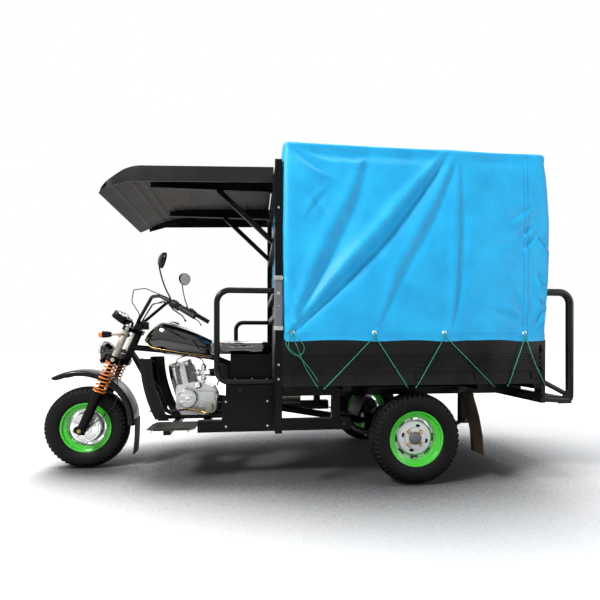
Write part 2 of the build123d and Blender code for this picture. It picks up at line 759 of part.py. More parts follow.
with BuildPart() as engine_crankcase:
    with BuildSketch(Plane.XZ.offset(-case_half_width)):
        with BuildLine():
            Polyline(
                (rear_axle_x + 1215, 378), (rear_axle_x + 1250, case_bottom), (rear_axle_x + 1440, case_bottom),
                (rear_axle_x + 1478, 400), (rear_axle_x + 1480, 500),
                (deck_front.X, deck_front.Z), (deck_rear.X, deck_rear.Z), (rear_axle_x + 1300, 566),
                (rear_axle_x + 1232, 540), (rear_axle_x + 1205, 480), close=True,
            )
        make_face()
    extrude(amount=case_half_width * 2)
    for cover_x, cover_z, cover_r, cover_side, cover_out in cover_table:
        cover_centre = (rear_axle_x + cover_x, cover_side * (case_half_width - overrun), cover_z)
        reach = cover_side * (cover_out + overrun)
        rounded = cover_side * (cover_out + overrun - cover_round)
        with BuildSketch(Plane(origin=cover_centre, x_dir=(1, 0, 0), z_dir=(0, 0, 1))):
            with BuildLine():
                Polyline((0, reach), (0, 0), (cover_r, 0), (cover_r - cover_draft, rounded))
                ThreePointArc((cover_r - cover_draft, rounded),
                              (cover_r - cover_draft - cover_round * 0.3, reach - cover_side * cover_round * 0.3),
                              (cover_r - cover_draft - cover_round, reach))
                Line((cover_r - cover_draft - cover_round, reach), (0, reach))
            make_face()
        revolve(axis=Axis(cover_centre, (0, 1, 0)))
    with BuildSketch(Plane.XZ.offset(-case_half_width)):
        with Locations((gear_cover_x, gear_cover_z)):
            RectangleRounded(gear_cover_length, gear_cover_height, cover_round)
    extrude(amount=-gear_cover_out)
    with BuildSketch(Plane.XZ.offset(-case_half_width - gear_cover_out)):
        with GridLocations(0, gear_rib_pitch, 1, gear_rib_count):
            with Locations((gear_cover_x, gear_cover_z)):
                RectangleRounded(gear_cover_length - cover_round, gear_rib_width, gear_rib_width / 3)
    extrude(amount=-gear_rib_height)
engine_crankcase.part.label = "engine_crankcase"
export_step(engine_crankcase.part, "parts/engine_crankcase.step")

with BuildPart() as engine_cylinder:
    with BuildSketch(barrel_plane.offset(barrel_foot)):
        Circle(barrel_radius)
    extrude(amount=barrel_height - barrel_foot)
    for fin in range(fin_count):
        with BuildSketch(barrel_plane.offset(barrel_foot + (fin + 0.5) * fin_pitch)):
            RectangleRounded(fin_size, fin_size * 0.86, fin_size / 8)
        extrude(amount=fin_thick)
    with BuildSketch(barrel_plane.offset(barrel_height)):
        RectangleRounded(fin_size * 0.8, fin_size * 0.8, fin_size / 8)
    extrude(amount=head_height * 0.55)
    head_face = engine_cylinder.faces(Select.LAST).sort_by(Axis.Z)[-1]
    fillet(head_face.edges(), head_round)
    with BuildSketch(barrel_plane.offset(barrel_foot)):
        with Locations((0, fin_size * 0.43)):
            RectangleRounded(chain_case_width, chain_case_depth, chain_case_depth / 4)
    extrude(amount=barrel_height + head_height * 0.3 - barrel_foot)
    intake_start = barrel_plane.from_local_coords(Vector(0, carburettor_y, barrel_height + head_height * 0.2))
    bent_tube((intake_start, (carburettor_x, carburettor_y, carburettor_z)), 0, intake_radius)
    with BuildSketch(Plane.YZ.offset(carburettor_x - carburettor_length / 2)):
        with Locations((carburettor_y, carburettor_z)):
            Circle(carburettor_radius)
    extrude(amount=carburettor_length)
    with BuildSketch(Plane.XY.offset(bowl_foot)):
        with Locations((carburettor_x, carburettor_y)):
            Circle(bowl_radius)
    extrude(amount=carburettor_z - bowl_foot)
engine_cylinder.part.label = "engine_cylinder"
export_step(engine_cylinder.part, "parts/engine_cylinder.step")

exhaust_radius = 16
silencer_radius = 52
silencer_front_x = rear_axle_x + 1020
silencer_length = 420
exhaust_y = -158
silencer_y = -250
exhaust_z = 420
with BuildPart() as exhaust:
    port = fin_size * 0.4 + seat_gap
    port_level = barrel_height + head_height * 0.28
    bent_tube((barrel_plane.from_local_coords(Vector(port, -30, port_level)),
               barrel_plane.from_local_coords(Vector(port + 34, -30, port_level)),
               (rear_axle_x + 1548, exhaust_y, 590),
               (rear_axle_x + 1500, exhaust_y, exhaust_z), (rear_axle_x + 1150, exhaust_y, exhaust_z),
               (silencer_front_x + 30, silencer_y, exhaust_z), (silencer_front_x - 20, silencer_y, exhaust_z)),
              (12, 40, 60, 80, 30), exhaust_radius)
    with BuildSketch(Plane.YZ.offset(silencer_front_x - silencer_length)):
        with Locations((silencer_y, exhaust_z)):
            Circle(silencer_radius)
    extrude(amount=silencer_length)
exhaust.part.label = "exhaust"
export_step(exhaust.part, "parts/exhaust.step")

# Fuel tank: a side outline and a plan outline, crossed, with rounded long edges
tank_nose_x = rear_axle_x + 1690
tank_nose_z = 862
tank_brow_x = rear_axle_x + 1602
tank_brow_z = 972
tank_top_x = rear_axle_x + 1562
tank_rear_x = rear_axle_x + 1242
tank_top_z = 980
tank_rear_z = 862
tank_low_z = 738
tank_belly_x = rear_axle_x + 1560
tank_belly_z = 782
tank_half_width = 132
tank_nose_half_width = 62
tank_rear_half_width = 84
tank_top_edge = 30
tunnel_top = 815.2
filler_radius = 34
filler_height = 12
with BuildPart() as fuel_tank:
    with BuildSketch(Plane.XZ):
        with BuildLine():
            Polyline((tank_rear_x, tank_rear_z), (tank_rear_x, tank_low_z), (tank_belly_x, tank_belly_z))
            ThreePointArc((tank_belly_x, tank_belly_z),
                          ((tank_belly_x + tank_nose_x) / 2 + sheet * 4, (tank_belly_z + tank_nose_z) / 2 - sheet * 4),
                          (tank_nose_x, tank_nose_z))
            ThreePointArc((tank_nose_x, tank_nose_z),
                          ((tank_brow_x + tank_nose_x) / 2 + sheet * 3, (tank_brow_z + tank_nose_z) / 2 + sheet * 2),
                          (tank_brow_x, tank_brow_z))
            Line((tank_brow_x, tank_brow_z), (tank_top_x, tank_top_z))
            ThreePointArc((tank_top_x, tank_top_z),
                          ((tank_top_x + tank_rear_x) / 2, (tank_top_z + tank_rear_z) / 2 + sheet * 5),
                          (tank_rear_x, tank_rear_z))
        make_face()
    extrude(amount=tank_half_width, both=True)
    with BuildSketch(Plane.XY.offset(tank_low_z - overrun)):
        with BuildLine():
            Line((tank_rear_x, tank_rear_half_width), (tank_rear_x, -tank_rear_half_width))
            ThreePointArc((tank_rear_x, -tank_rear_half_width), (tank_belly_x - tank_top_edge, -tank_half_width),
                          (tank_nose_x, -tank_nose_half_width))
            Line((tank_nose_x, -tank_nose_half_width), (tank_nose_x, tank_nose_half_width))
            ThreePointArc((tank_nose_x, tank_nose_half_width), (tank_belly_x - tank_top_edge, tank_half_width),
                          (tank_rear_x, tank_rear_half_width))
        make_face()
    extrude(amount=tank_top_z - tank_low_z + overrun * 2, mode=Mode.INTERSECT)
    long_edges = [edge for edge in fuel_tank.edges() if abs(edge.center().Y) > tank_rear_half_width / 2]
    top_edges = [edge for edge in long_edges if edge.center().Z > tank_nose_z + overrun
                 and edge.bounding_box().size.X > tank_top_edge]
    fillet(top_edges, tank_top_edge)
    with BuildSketch(Plane.YZ.offset(tank_rear_x - overrun)):
        with Locations((0, tank_low_z)):
            Rectangle(backbone_radius * 3, (tunnel_top - tank_low_z) * 2)
    extrude(amount=tank_nose_x - tank_rear_x + overrun * 2, mode=Mode.SUBTRACT)
    with BuildSketch(Plane.XY.offset(tank_top_z - filler_height * 2)):
        with Locations((tank_top_x - filler_radius * 2, 0)):
            Circle(filler_radius)
    extrude(amount=filler_height * 2)
fuel_tank.part.label = "fuel_tank"
export_step(fuel_tank.part, "parts/fuel_tank.step")

# Seat box and seat
seat_box_front_x = rear_axle_x + 1098
seat_box_rear_x = rear_axle_x + 846
seat_half_width = 420
seat_box_top = 772
seat_top = 852
seat_nose_half_width = 130
seat_edge = 20
with BuildPart() as seat_box:
    beam(seat_box_rear_x, seat_box_front_x, -seat_half_width, seat_half_width, high_rail_top + seat_gap, seat_box_top)
    beam(seat_box_rear_x + sheet, seat_box_front_x - sheet, -seat_half_width + sheet, seat_half_width - sheet,
         high_rail_top - overrun, high_rail_top)
    with BuildSketch(Plane.XY.offset(high_rail_top - overrun)):
        with Locations(((seat_box_rear_x + seat_box_front_x) / 2, 0)):
            Rectangle(seat_box_front_x - seat_box_rear_x - sheet * 2, seat_half_width * 2 - sheet * 2)
    extrude(amount=seat_box_top - sheet - high_rail_top + overrun, mode=Mode.SUBTRACT)
seat_box.part.label = "seat_box"
export_step(seat_box.part, "parts/seat_box.step")

with BuildPart() as rider_seat:
    with BuildSketch(Plane.XY.offset(seat_box_top + seat_gap)):
        with Locations(((seat_box_rear_x + seat_box_front_x) / 2, 0)):
            RectangleRounded(seat_box_front_x - seat_box_rear_x - sheet * 2, seat_half_width * 2 - sheet * 4, 40)
        with Locations((seat_box_front_x + 50, 0)):
            RectangleRounded(160, seat_nose_half_width * 2, 50)
    extrude(amount=seat_top - seat_box_top)
    fillet(rider_seat.faces().sort_by(Axis.Z)[-1].edges(), seat_edge)
rider_seat.part.label = "rider_seat"
export_step(rider_seat.part, "parts/rider_seat.step")

# Headboard frame behind the rider, roof brackets and struts
post_depth = 40
post_foot_z = 335
headboard_top = 1872
headboard_x = bed_front_x + post_depth
bracket_y = 300
bracket_width = 30
bracket_low = 1800
roof_rear_z = 1878
roof_bend_x = rear_axle_x + 1665
bracket_front_x = roof_bend_x - 76
roof_bend_z = 1850
roof_tip_x = rear_axle_x + 1850
roof_tip_z = 1712
roof_sheet = 5
roof_half_width = 500
roof_fall_share = (roof_rear_z - roof_bend_z) / (roof_bend_x - headboard_x)
bracket_front_top = roof_bend_z + (roof_bend_x - bracket_front_x) * roof_fall_share
strut_top_x = rear_axle_x + 1180
strut_low_z = 1500
cross_bar = 32
with BuildPart() as headboard:
    for side in (-1, 1):
        beam(bed_front_x + seat_gap, headboard_x, side * (bed_half_width - post_depth), side * bed_half_width,
             post_foot_z, headboard_top)
    for bar_z in (high_rail_top + seat_gap, 985, 1134, strut_low_z - cross_bar, headboard_top - cross_bar * 2):
        beam(bed_front_x + seat_gap, headboard_x, -bed_half_width + sheet, bed_half_width - sheet, bar_z,
             bar_z + cross_bar)
    beam(bed_front_x + seat_gap, bed_front_x + seat_gap + sheet, -bed_half_width + sheet, bed_half_width - sheet,
         high_rail_top + seat_gap, 1150)
    for side in (-1, 1):
        side_plate(((headboard_x - sheet, bracket_low), (bracket_front_x, bracket_low),
                    (bracket_front_x, bracket_front_top - seat_gap), (headboard_x - sheet, headboard_top + sheet)),
                   side * bracket_y - bracket_width / 2, side * bracket_y + bracket_width / 2)
        bent_bar(((headboard_x - sheet, side * bracket_y, strut_low_z - cross_bar / 2),
                  (strut_top_x, side * bracket_y, bracket_low + sheet)), 0, bracket_width, bracket_width)
headboard.part.label = "headboard"
export_step(headboard.part, "parts/headboard.step")

roof_skirt = 85
roof_roll = 220
roof_corner = 95
with BuildPart() as cab_roof:
    top = ((headboard_x + seat_gap, roof_rear_z), (roof_bend_x, roof_bend_z + seat_gap), (roof_tip_x, roof_tip_z))
    for rise, mode in ((roof_sheet, Mode.ADD), (0, Mode.SUBTRACT)):
        side_y = roof_half_width if rise else roof_half_width - roof_sheet
        with BuildSketch(Plane.XZ):
            with BuildLine():
                outline = FilletPolyline(*((x, z + rise) for x, z in top), radius=roof_roll)
                Polyline(outline @ 1, (roof_tip_x, roof_tip_z - overrun), (roof_bend_x, roof_bend_z - roof_skirt),
                         (headboard_x + seat_gap, roof_rear_z - roof_skirt - (0 if rise else overrun)), outline @ 0)
            make_face()
        extrude(amount=side_y, both=True, mode=mode)
    with BuildSketch(Plane.XY.offset(roof_tip_z - roof_skirt)):
        with Locations(((headboard_x + seat_gap + roof_tip_x) / 2 - roof_corner / 2, 0)):
            RectangleRounded(roof_tip_x - headboard_x - seat_gap + roof_corner, roof_half_width * 2, roof_corner - overrun)
    extrude(amount=roof_rear_z - roof_tip_z + roof_skirt * 2, mode=Mode.INTERSECT)
cab_roof.part.label = "cab_roof"
export_step(cab_roof.part, "parts/cab_roof.step")

# Arm rails beside the rider
rail_tube_radius = 17
arm_rail_y = 500
with BuildPart() as arm_rail_left:
    bent_tube(((headboard_x + seat_gap, arm_rail_y, 1150), (rear_axle_x + 1172, arm_rail_y, 1150),
               (rear_axle_x + 1172, arm_rail_y, 612), (headboard_x + seat_gap, arm_rail_y, 612)), 75,
              rail_tube_radius)
arm_rail_left.part.label = "arm_rail_left"
export_step(arm_rail_left.part, "parts/arm_rail_left.step")

with BuildPart() as arm_rail_right:
    bent_tube(((headboard_x + seat_gap, -arm_rail_y, 1000), (rear_axle_x + 1102, -arm_rail_y, 1000),
               (rear_axle_x + 1102, -arm_rail_y, 612), (headboard_x + seat_gap, -arm_rail_y, 612)), 60,
              rail_tube_radius)
arm_rail_right.part.label = "arm_rail_right"
export_step(arm_rail_right.part, "parts/arm_rail_right.step")

# Leg shields, footboards and side panels
shield_in_y = 100
shield_out_y = 200
shield_bend = 34
shield_low_x = rear_axle_x + 1592
shield_low_z = 336
shield_mid_x = rear_axle_x + 1672
shield_mid_z = 560
shield_top_x = rear_axle_x + 1690
shield_top_z = 738
shield_low_depth = 92
shield_mid_depth = 84
shield_top_depth = 78
shield_foot_z = 395
with BuildPart() as leg_shields:
    for side in (-1, 1):
        for inset, mode in ((0, Mode.ADD), (sheet, Mode.SUBTRACT)):
            rearward = overrun * 8 if inset else 0
            beyond = overrun if inset else 0
            with BuildPart(mode=Mode.PRIVATE) as block:
                with BuildSketch(Plane.XZ.offset(-side * (shield_in_y - beyond))):
                    with BuildLine():
                        front = ThreePointArc((shield_low_x - inset, shield_low_z), (shield_mid_x - inset, shield_mid_z),
                                              (shield_top_x - inset, shield_top_z))
                        rear = ThreePointArc((shield_low_x - shield_low_depth - rearward, shield_low_z),
                                             (shield_mid_x - shield_mid_depth - rearward, shield_mid_z),
                                             (shield_top_x - shield_top_depth - rearward, shield_top_z))
                        for end, rise in ((1, beyond), (0, -beyond)):
                            if beyond:
                                Line(front @ end, front @ end + Vector(0, rise))
                                Line(rear @ end, rear @ end + Vector(0, rise))
                            Line(front @ end + Vector(0, rise), rear @ end + Vector(0, rise))
                    make_face()
                extrude(amount=-side * (shield_out_y - inset - shield_in_y + beyond))
                outer_edges = [edge for edge in block.edges() if edge.length > shield_bend * 5
                               and abs(edge.center().Y) > shield_out_y - inset - seat_gap]
                fillet(ShapeList(outer_edges).sort_by(Axis.X)[-1], shield_bend - inset)
            add(block.part, mode=mode)
        beam(cradle_front_x + 20, cradle_front_x + 55, side * (cradle_y + cradle_radius + seat_gap), side * shield_out_y,
             shield_foot_z, shield_foot_z + sheet)
leg_shields.part.label = "leg_shields"
export_step(leg_shields.part, "parts/leg_shields.step")

board_front_x = rear_axle_x + 1588
board_rear_x = rear_axle_x + 1304
board_inner_y = 205
board_outer_y = 470
board_z = cradle_z - cradle_radius + sheet + seat_gap
board_lip = 16
with BuildPart() as footboards:
    for side in (-1, 1):
        with BuildSketch(Plane.XY.offset(board_z)):
            with BuildLine():
                Polyline((board_rear_x, side * board_inner_y), (board_front_x - 20, side * board_inner_y),
                         (board_front_x, side * (board_inner_y + 60)), (board_front_x, side * (board_outer_y - 40)),
                         (board_front_x - 50, side * board_outer_y), (board_rear_x + 30, side * board_outer_y),
                         (board_rear_x, side * (board_outer_y - 40)), close=True)
            make_face()
        extrude(amount=sheet)
        beam(board_rear_x + 30, board_front_x - 50, side * (board_outer_y - sheet), side * board_outer_y, board_z,
             board_z + board_lip)
footboards.part.label = "footboards"
export_step(footboards.part, "parts/footboards.step")

panel_sheet = 4
with BuildPart() as side_panels:
    for side in (-1, 1):
        panel_y = rail_outer_y + seat_gap
        beam(rear_axle_x + 850, rear_axle_x + 1150, side * panel_y, side * (panel_y + panel_sheet),
             low_rail_z + board_lip / 2, high_rail_z)
side_panels.part.label = "side_panels"
export_step(side_panels.part, "parts/side_panels.step")

# Foot controls
with BuildPart() as foot_controls:
    bent_tube(((rear_axle_x + 1300, case_half_width + seat_gap, 384), (rear_axle_x + 1300, 145, 384),
               (rear_axle_x + 1390, 150, 402), (rear_axle_x + 1470, 235, 404)), (14, 40), 6)
    bent_tube(((rear_axle_x + 1450, -case_half_width - seat_gap, 395), (rear_axle_x + 1450, -135, 395),
               (rear_axle_x + 1500, -190, 400)), 14, 7)
foot_controls.part.label = "foot_controls"
export_step(foot_controls.part, "parts/foot_controls.step")

# Load bed
rib_depth = 8
rib_levels = (668, 698, 728, 758)
rib_rise = 12
chequer_rail_top = 660
with BuildPart() as bed_floor:
    beam(bed_rear_x, bed_front_x - bed_wall, -bed_half_width + bed_wall, bed_half_width - bed_wall, high_rail_top,
         bed_floor_z)
bed_floor.part.label = "bed_floor"
export_step(bed_floor.part, "parts/bed_floor.step")

for side, side_name in ((1, "left"), (-1, "right")):
    with BuildPart() as bed_side:
        with BuildSketch(Plane.YZ.offset(bed_rear_x)):
            with BuildLine():
                skin = side * (bed_half_width - rib_depth)
                outer_face = side * bed_half_width
                points = [(side * (bed_half_width - bed_wall), bed_top_z),
                          (side * (bed_half_width - bed_wall), high_rail_top),
                          (outer_face, high_rail_top), (outer_face, chequer_rail_top), (skin, chequer_rail_top)]
                for level in rib_levels:
                    points += [(skin, level), (outer_face, level + rib_rise / 4), (outer_face, level + rib_rise),
                               (skin, level + rib_rise * 1.25)]
                points += [(skin, bed_top_z - bed_wall), (outer_face, bed_top_z - bed_wall),
                           (outer_face, bed_top_z)]
                Polyline(*points, close=True)
            make_face()
        extrude(amount=bed_length)
    bed_side.part.label = f"bed_side_{side_name}"
    export_step(bed_side.part, f"parts/bed_side_{side_name}.step")

with BuildPart() as bed_front_wall:
    beam(bed_front_x - bed_wall, bed_front_x, -bed_half_width + bed_wall, bed_half_width - bed_wall, high_rail_top,
         bed_top_z)
bed_front_wall.part.label = "bed_front_wall"
export_step(bed_front_wall.part, "parts/bed_front_wall.step")

# Tailgate, hinged along its foot between the rear posts
rear_post_depth = 28
rear_post_width = 62
rear_post_foot = 480
gate_thick = 22
gate_half_width = bed_half_width - rear_post_width - swing_gap - 4
gate_front_x = bed_rear_x - swing_gap
gate_foot = bed_floor_z + 14
gate_top = bed_top_z - 10
hinge_x = gate_front_x - gate_thick - 8
hinge_z = bed_floor_z + 3
hinge_pin_radius = 5
hinge_barrel_radius = 9
hinge_length = 70
hinge_places = (-380, 0, 380)
hinge_lug = 12
with BuildPart() as tailgate:
    beam(gate_front_x - gate_thick, gate_front_x, -gate_half_width, gate_half_width, gate_foot, gate_top)
    for place in hinge_places:
        with BuildSketch(Plane.XZ.offset(-place - hinge_length / 2)):
            with Locations((hinge_x, hinge_z)):
                Circle(hinge_barrel_radius)
            with Locations((hinge_x + hinge_barrel_radius / 2, hinge_z + hinge_barrel_radius)):
                Rectangle(hinge_barrel_radius * 2, hinge_barrel_radius * 2)
            with Locations((hinge_x, hinge_z)):
                Circle(hinge_pin_radius + running_gap, mode=Mode.SUBTRACT)
        extrude(amount=hinge_length)
tailgate.part.label = "tailgate"
export_step(tailgate.part, "parts/tailgate.step")

# Rear posts, guard loops and the tailgate's hinge pins
guard_tube_radius = 22
guard_y = 600
guard_x = -overall_length / 2 + guard_tube_radius
guard_top_z = 1151
guard_low_z = 489
canopy_rear_x = bed_rear_x - rear_post_depth - 8.5
with BuildPart() as rear_guard:
    for side in (-1, 1):
        beam(bed_rear_x - rear_post_depth, bed_rear_x - seat_gap, side * (bed_half_width - rear_post_width),
             side * bed_half_width, rear_post_foot, bed_top_z)
        bent_tube(((canopy_rear_x - seat_gap, side * guard_y, guard_top_z), (guard_x, side * guard_y, guard_top_z),
                   (guard_x, side * guard_y, guard_low_z),
                   (bed_rear_x - rear_post_depth / 2, side * guard_y, guard_low_z + 14)), (70, 24), guard_tube_radius)
        bent_tube(((bed_rear_x - rear_post_depth / 2, side * guard_y, 618), (guard_x + 8, side * guard_y, 518)), 0, 15)
    beam(guard_x - 15, guard_x + 15, -guard_y, guard_y, guard_low_z - 15, guard_low_z + 15)
    beam(bed_rear_x - rear_post_depth, bed_rear_x - seat_gap, -bed_half_width + sheet, bed_half_width - sheet,
         rear_post_foot, rear_post_foot + 60)
    beam(bed_rear_x - rear_post_depth, bed_rear_x - seat_gap, -rail_outer_y, rail_outer_y, rear_post_foot + 59,
         hinge_z - hinge_barrel_radius - 8)
    for place in hinge_places:
        for lug_side in (-1, 1):
            lug_y = place + lug_side * (hinge_length / 2 + 0.5 + hinge_lug / 2)
            with BuildSketch(Plane.XZ.offset(-lug_y - hinge_lug / 2)):
                with Locations((hinge_x, hinge_z)):
                    Circle(hinge_barrel_radius)
                with Locations((hinge_x, hinge_z - hinge_barrel_radius)):
                    Rectangle(hinge_barrel_radius * 2, hinge_barrel_radius * 2)
                with Locations(((hinge_x + bed_rear_x - rear_post_depth / 2) / 2, hinge_z - hinge_barrel_radius * 2.2)):
                    Rectangle(bed_rear_x - rear_post_depth / 2 - hinge_x + hinge_barrel_radius * 2,
                              hinge_barrel_radius * 1.5)
            extrude(amount=hinge_lug)
        with BuildSketch(Plane.XZ.offset(-place - hinge_length / 2 - hinge_lug)):
            with Locations((hinge_x, hinge_z)):
                Circle(hinge_pin_radius)
        extrude(amount=hinge_length + hinge_lug * 2)
rear_guard.part.label = "rear_guard"
export_step(rear_guard.part, "parts/rear_guard.step")

with BuildPart() as tail_lamps:
    for side in (-1, 1):
        beam(bed_rear_x - rear_post_depth - 34, bed_rear_x - rear_post_depth - seat_gap, side * 420, side * 540,
             rear_post_foot + 5, rear_post_foot + 55)
tail_lamps.part.label = "tail_lamps"
export_step(tail_lamps.part, "parts/tail_lamps.step")

# Canopy frame and canopy
canopy_front_x = bed_front_x - 3.5
canopy_sheet = 6
canopy_half_width = bed_half_width + seat_gap + canopy_sheet
canopy_top = 1984
canopy_hem = bed_top_z - 8
canopy_short_hem = bed_top_z + 6
canopy_edge = 30
bow_radius = 12
bow_bend = 24
bow_y = bed_half_width - bed_wall / 2
bow_top = canopy_top - canopy_sheet - seat_gap - bow_radius
bow_places = (bed_front_x - 32, rear_axle_x - 190, bed_rear_x + 20)
with BuildPart() as canopy_frame:
    for bow_x in bow_places:
        bent_tube(((bow_x, -bow_y, bed_top_z + seat_gap), (bow_x, -bow_y, bow_top), (bow_x, bow_y, bow_top),
                   (bow_x, bow_y, bed_top_z + seat_gap)), bow_bend, bow_radius)
    for ridge_y in (-bow_y + canopy_edge * 2, 0, bow_y - canopy_edge * 2):
        beam(bow_places[-1], bow_places[0], ridge_y - bow_radius / 2, ridge_y + bow_radius / 2,
             bow_top - bow_radius, bow_top)
canopy_frame.part.label = "canopy_frame"
export_step(canopy_frame.part, "parts/canopy_frame.step")

canopy_middle_x = (canopy_front_x + canopy_rear_x) / 2
canopy_length = canopy_front_x - canopy_rear_x
with BuildPart() as canopy:
    with BuildSketch(Plane.YZ.offset(canopy_rear_x)):
        with BuildLine():
            FilletPolyline((-canopy_half_width, canopy_hem), (-canopy_half_width, canopy_top),
                           (canopy_half_width, canopy_top), (canopy_half_width, canopy_hem), radius=canopy_edge)
            Line((canopy_half_width, canopy_hem), (-canopy_half_width, canopy_hem))
        make_face()
    extrude(amount=canopy_length)
    with BuildSketch(Plane.YZ.offset(canopy_rear_x + canopy_sheet)):
        with BuildLine():
            inner = canopy_half_width - canopy_sheet
            FilletPolyline((-inner, canopy_hem - overrun), (-inner, canopy_top - canopy_sheet),
                           (inner, canopy_top - canopy_sheet), (inner, canopy_hem - overrun),
                           radius=canopy_edge - canopy_sheet)
            Line((inner, canopy_hem - overrun), (-inner, canopy_hem - overrun))
        make_face()
    extrude(amount=canopy_length - canopy_sheet * 2, mode=Mode.SUBTRACT)
    with BuildSketch(Plane.XY.offset(canopy_hem - overrun)):
        with Locations((canopy_middle_x, 0)):
            Rectangle(canopy_length + overrun * 2, inner * 2)
    extrude(amount=canopy_short_hem - canopy_hem + overrun, mode=Mode.SUBTRACT)
canopy.part.label = "canopy"
export_step(canopy.part, "parts/canopy.step")

# Rear axle, prop shaft, leaf springs, mudguards and flaps
drum_inner_y = rear_wheel_y + disc_dish - drum_width
back_plate_y = drum_inner_y - swing_gap
stub_end_y = rear_wheel_y + disc_dish * 2 + sheet
diff_radius = 112
shaft_radius = 24
with BuildPart() as rear_axle:
    with BuildSketch(Plane.XZ.offset(-back_plate_y)):
        with Locations((rear_axle_x, axle_height)):
            Circle(axle_tube_radius)
    extrude(amount=back_plate_y * 2)
    with BuildSketch(Plane.XZ.offset(-stub_end_y)):
        with Locations((rear_axle_x, axle_height)):
            Circle(stub_radius)
    extrude(amount=stub_end_y * 2)
    for side in (-1, 1):
        with BuildSketch(Plane.XZ.offset(-side * back_plate_y)):
            with Locations((rear_axle_x, axle_height)):
                Circle(drum_radius)
        extrude(amount=side * disc_wall)
        beam(rear_axle_x - rail_width / 2, rear_axle_x + rail_width / 2, side * (rail_y - spring_width / 2),
             side * (rail_y + spring_width / 2), leaf_middle_z + leaf_thick / 2 + seat_gap * 2,
             axle_height - axle_tube_radius / 2)
    with Locations((rear_axle_x, 0, axle_height)):
        Sphere(diff_radius)
    with BuildSketch(Plane.YZ.offset(rear_axle_x)):
        with Locations((0, axle_height)):
            Circle(diff_radius / 2)
    extrude(amount=diff_radius * 1.5)
rear_axle.part.label = "rear_axle"
export_step(rear_axle.part, "parts/rear_axle.step")

with BuildPart() as prop_shaft:
    shaft_end = Vector(rear_axle_x + 1203, 0, 452)
    shaft_start = Vector(rear_axle_x + diff_radius * 1.5 + 4.6, 0, axle_height)
    bent_tube((shaft_start, shaft_end), 0, shaft_radius)
prop_shaft.part.label = "prop_shaft"
export_step(prop_shaft.part, "parts/prop_shaft.step")

leaf_sag = spring_eye_z - leaf_middle_z
leaf_radius = (spring_reach ** 2 + leaf_sag ** 2) / (2 * leaf_sag)
leaf_centre_z = leaf_middle_z + leaf_radius
with BuildPart() as leaf_springs:
    for leaf in range(leaf_count):
        swing = degrees(asin(spring_reach / leaf_radius)) * (1 - leaf * 0.2)
        with BuildSketch(Plane.XZ.offset(-rail_y - spring_width / 2)):
            with BuildLine():
                upper = CenterArc((rear_axle_x, leaf_centre_z), leaf_radius + (leaf - 0.5) * leaf_thick,
                                  270 - swing, swing * 2)
                lower = CenterArc((rear_axle_x, leaf_centre_z), leaf_radius + (leaf + 0.5) * leaf_thick,
                                  270 - swing, swing * 2)
                Line(upper @ 0, lower @ 0)
                Line(upper @ 1, lower @ 1)
            make_face()
        extrude(amount=spring_width)
    for eye in (-1, 1):
        with BuildSketch(Plane.XZ.offset(-rail_y - spring_width / 2)):
            with Locations((rear_axle_x + eye * spring_reach, spring_eye_z)):
                Circle(spring_eye_radius)
        extrude(amount=spring_width)
    mirror(about=Plane.XZ)
leaf_springs.part.label = "leaf_springs"
export_step(leaf_springs.part, "parts/leaf_springs.step")

arch = ((rear_axle_x + 368, 424), (rear_axle_x + 300, 586), (rear_axle_x - 282, 586), (rear_axle_x - 335, 536))
with BuildPart() as rear_mudguards:
    for side in (-1, 1):
        near = side * (rail_outer_y + seat_gap)
        far = side * (bed_half_width - sheet)
        side_plate(arch + tuple((x, z - sheet) for x, z in arch[::-1]), min(near, far), max(near, far))
rear_mudguards.part.label = "rear_mudguards"
export_step(rear_mudguards.part, "parts/rear_mudguards.step")

flap_route = (
    (rear_axle_x - 335.3, 541), (rear_axle_x - 335.3, 530), (rear_axle_x - 372, 400),
    (rear_axle_x - 392, 290), (rear_axle_x - 400, 168),
)
with BuildPart() as mud_flaps:
    for side in (-1, 1):
        side_plate(flap_route + tuple((x - flap_sheet, z) for x, z in flap_route[::-1]),
                   min(side * 485, side * 625), max(side * 485, side * 625))
mud_flaps.part.label = "mud_flaps"
export_step(mud_flaps.part, "parts/mud_flaps.step")
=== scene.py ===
# %% [markdown]
# # A cargo motor tricycle
# A three-wheeler with a motorcycle's front end, a steel load bed over a driven rear axle, a moulded roof
# over the rider and a blue tarpaulin laced over the load. The frame of rigid pieces is already modelled and
# packed. This script dresses it: it gives each carried-over piece its finish, and replaces the pieces
# whose real surface is richer than a plain solid, such as tyres, springs, engine, seat and tarpaulin.

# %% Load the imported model
import json

import bmesh
import bpy
import numpy as np
from mathutils import Matrix, Vector


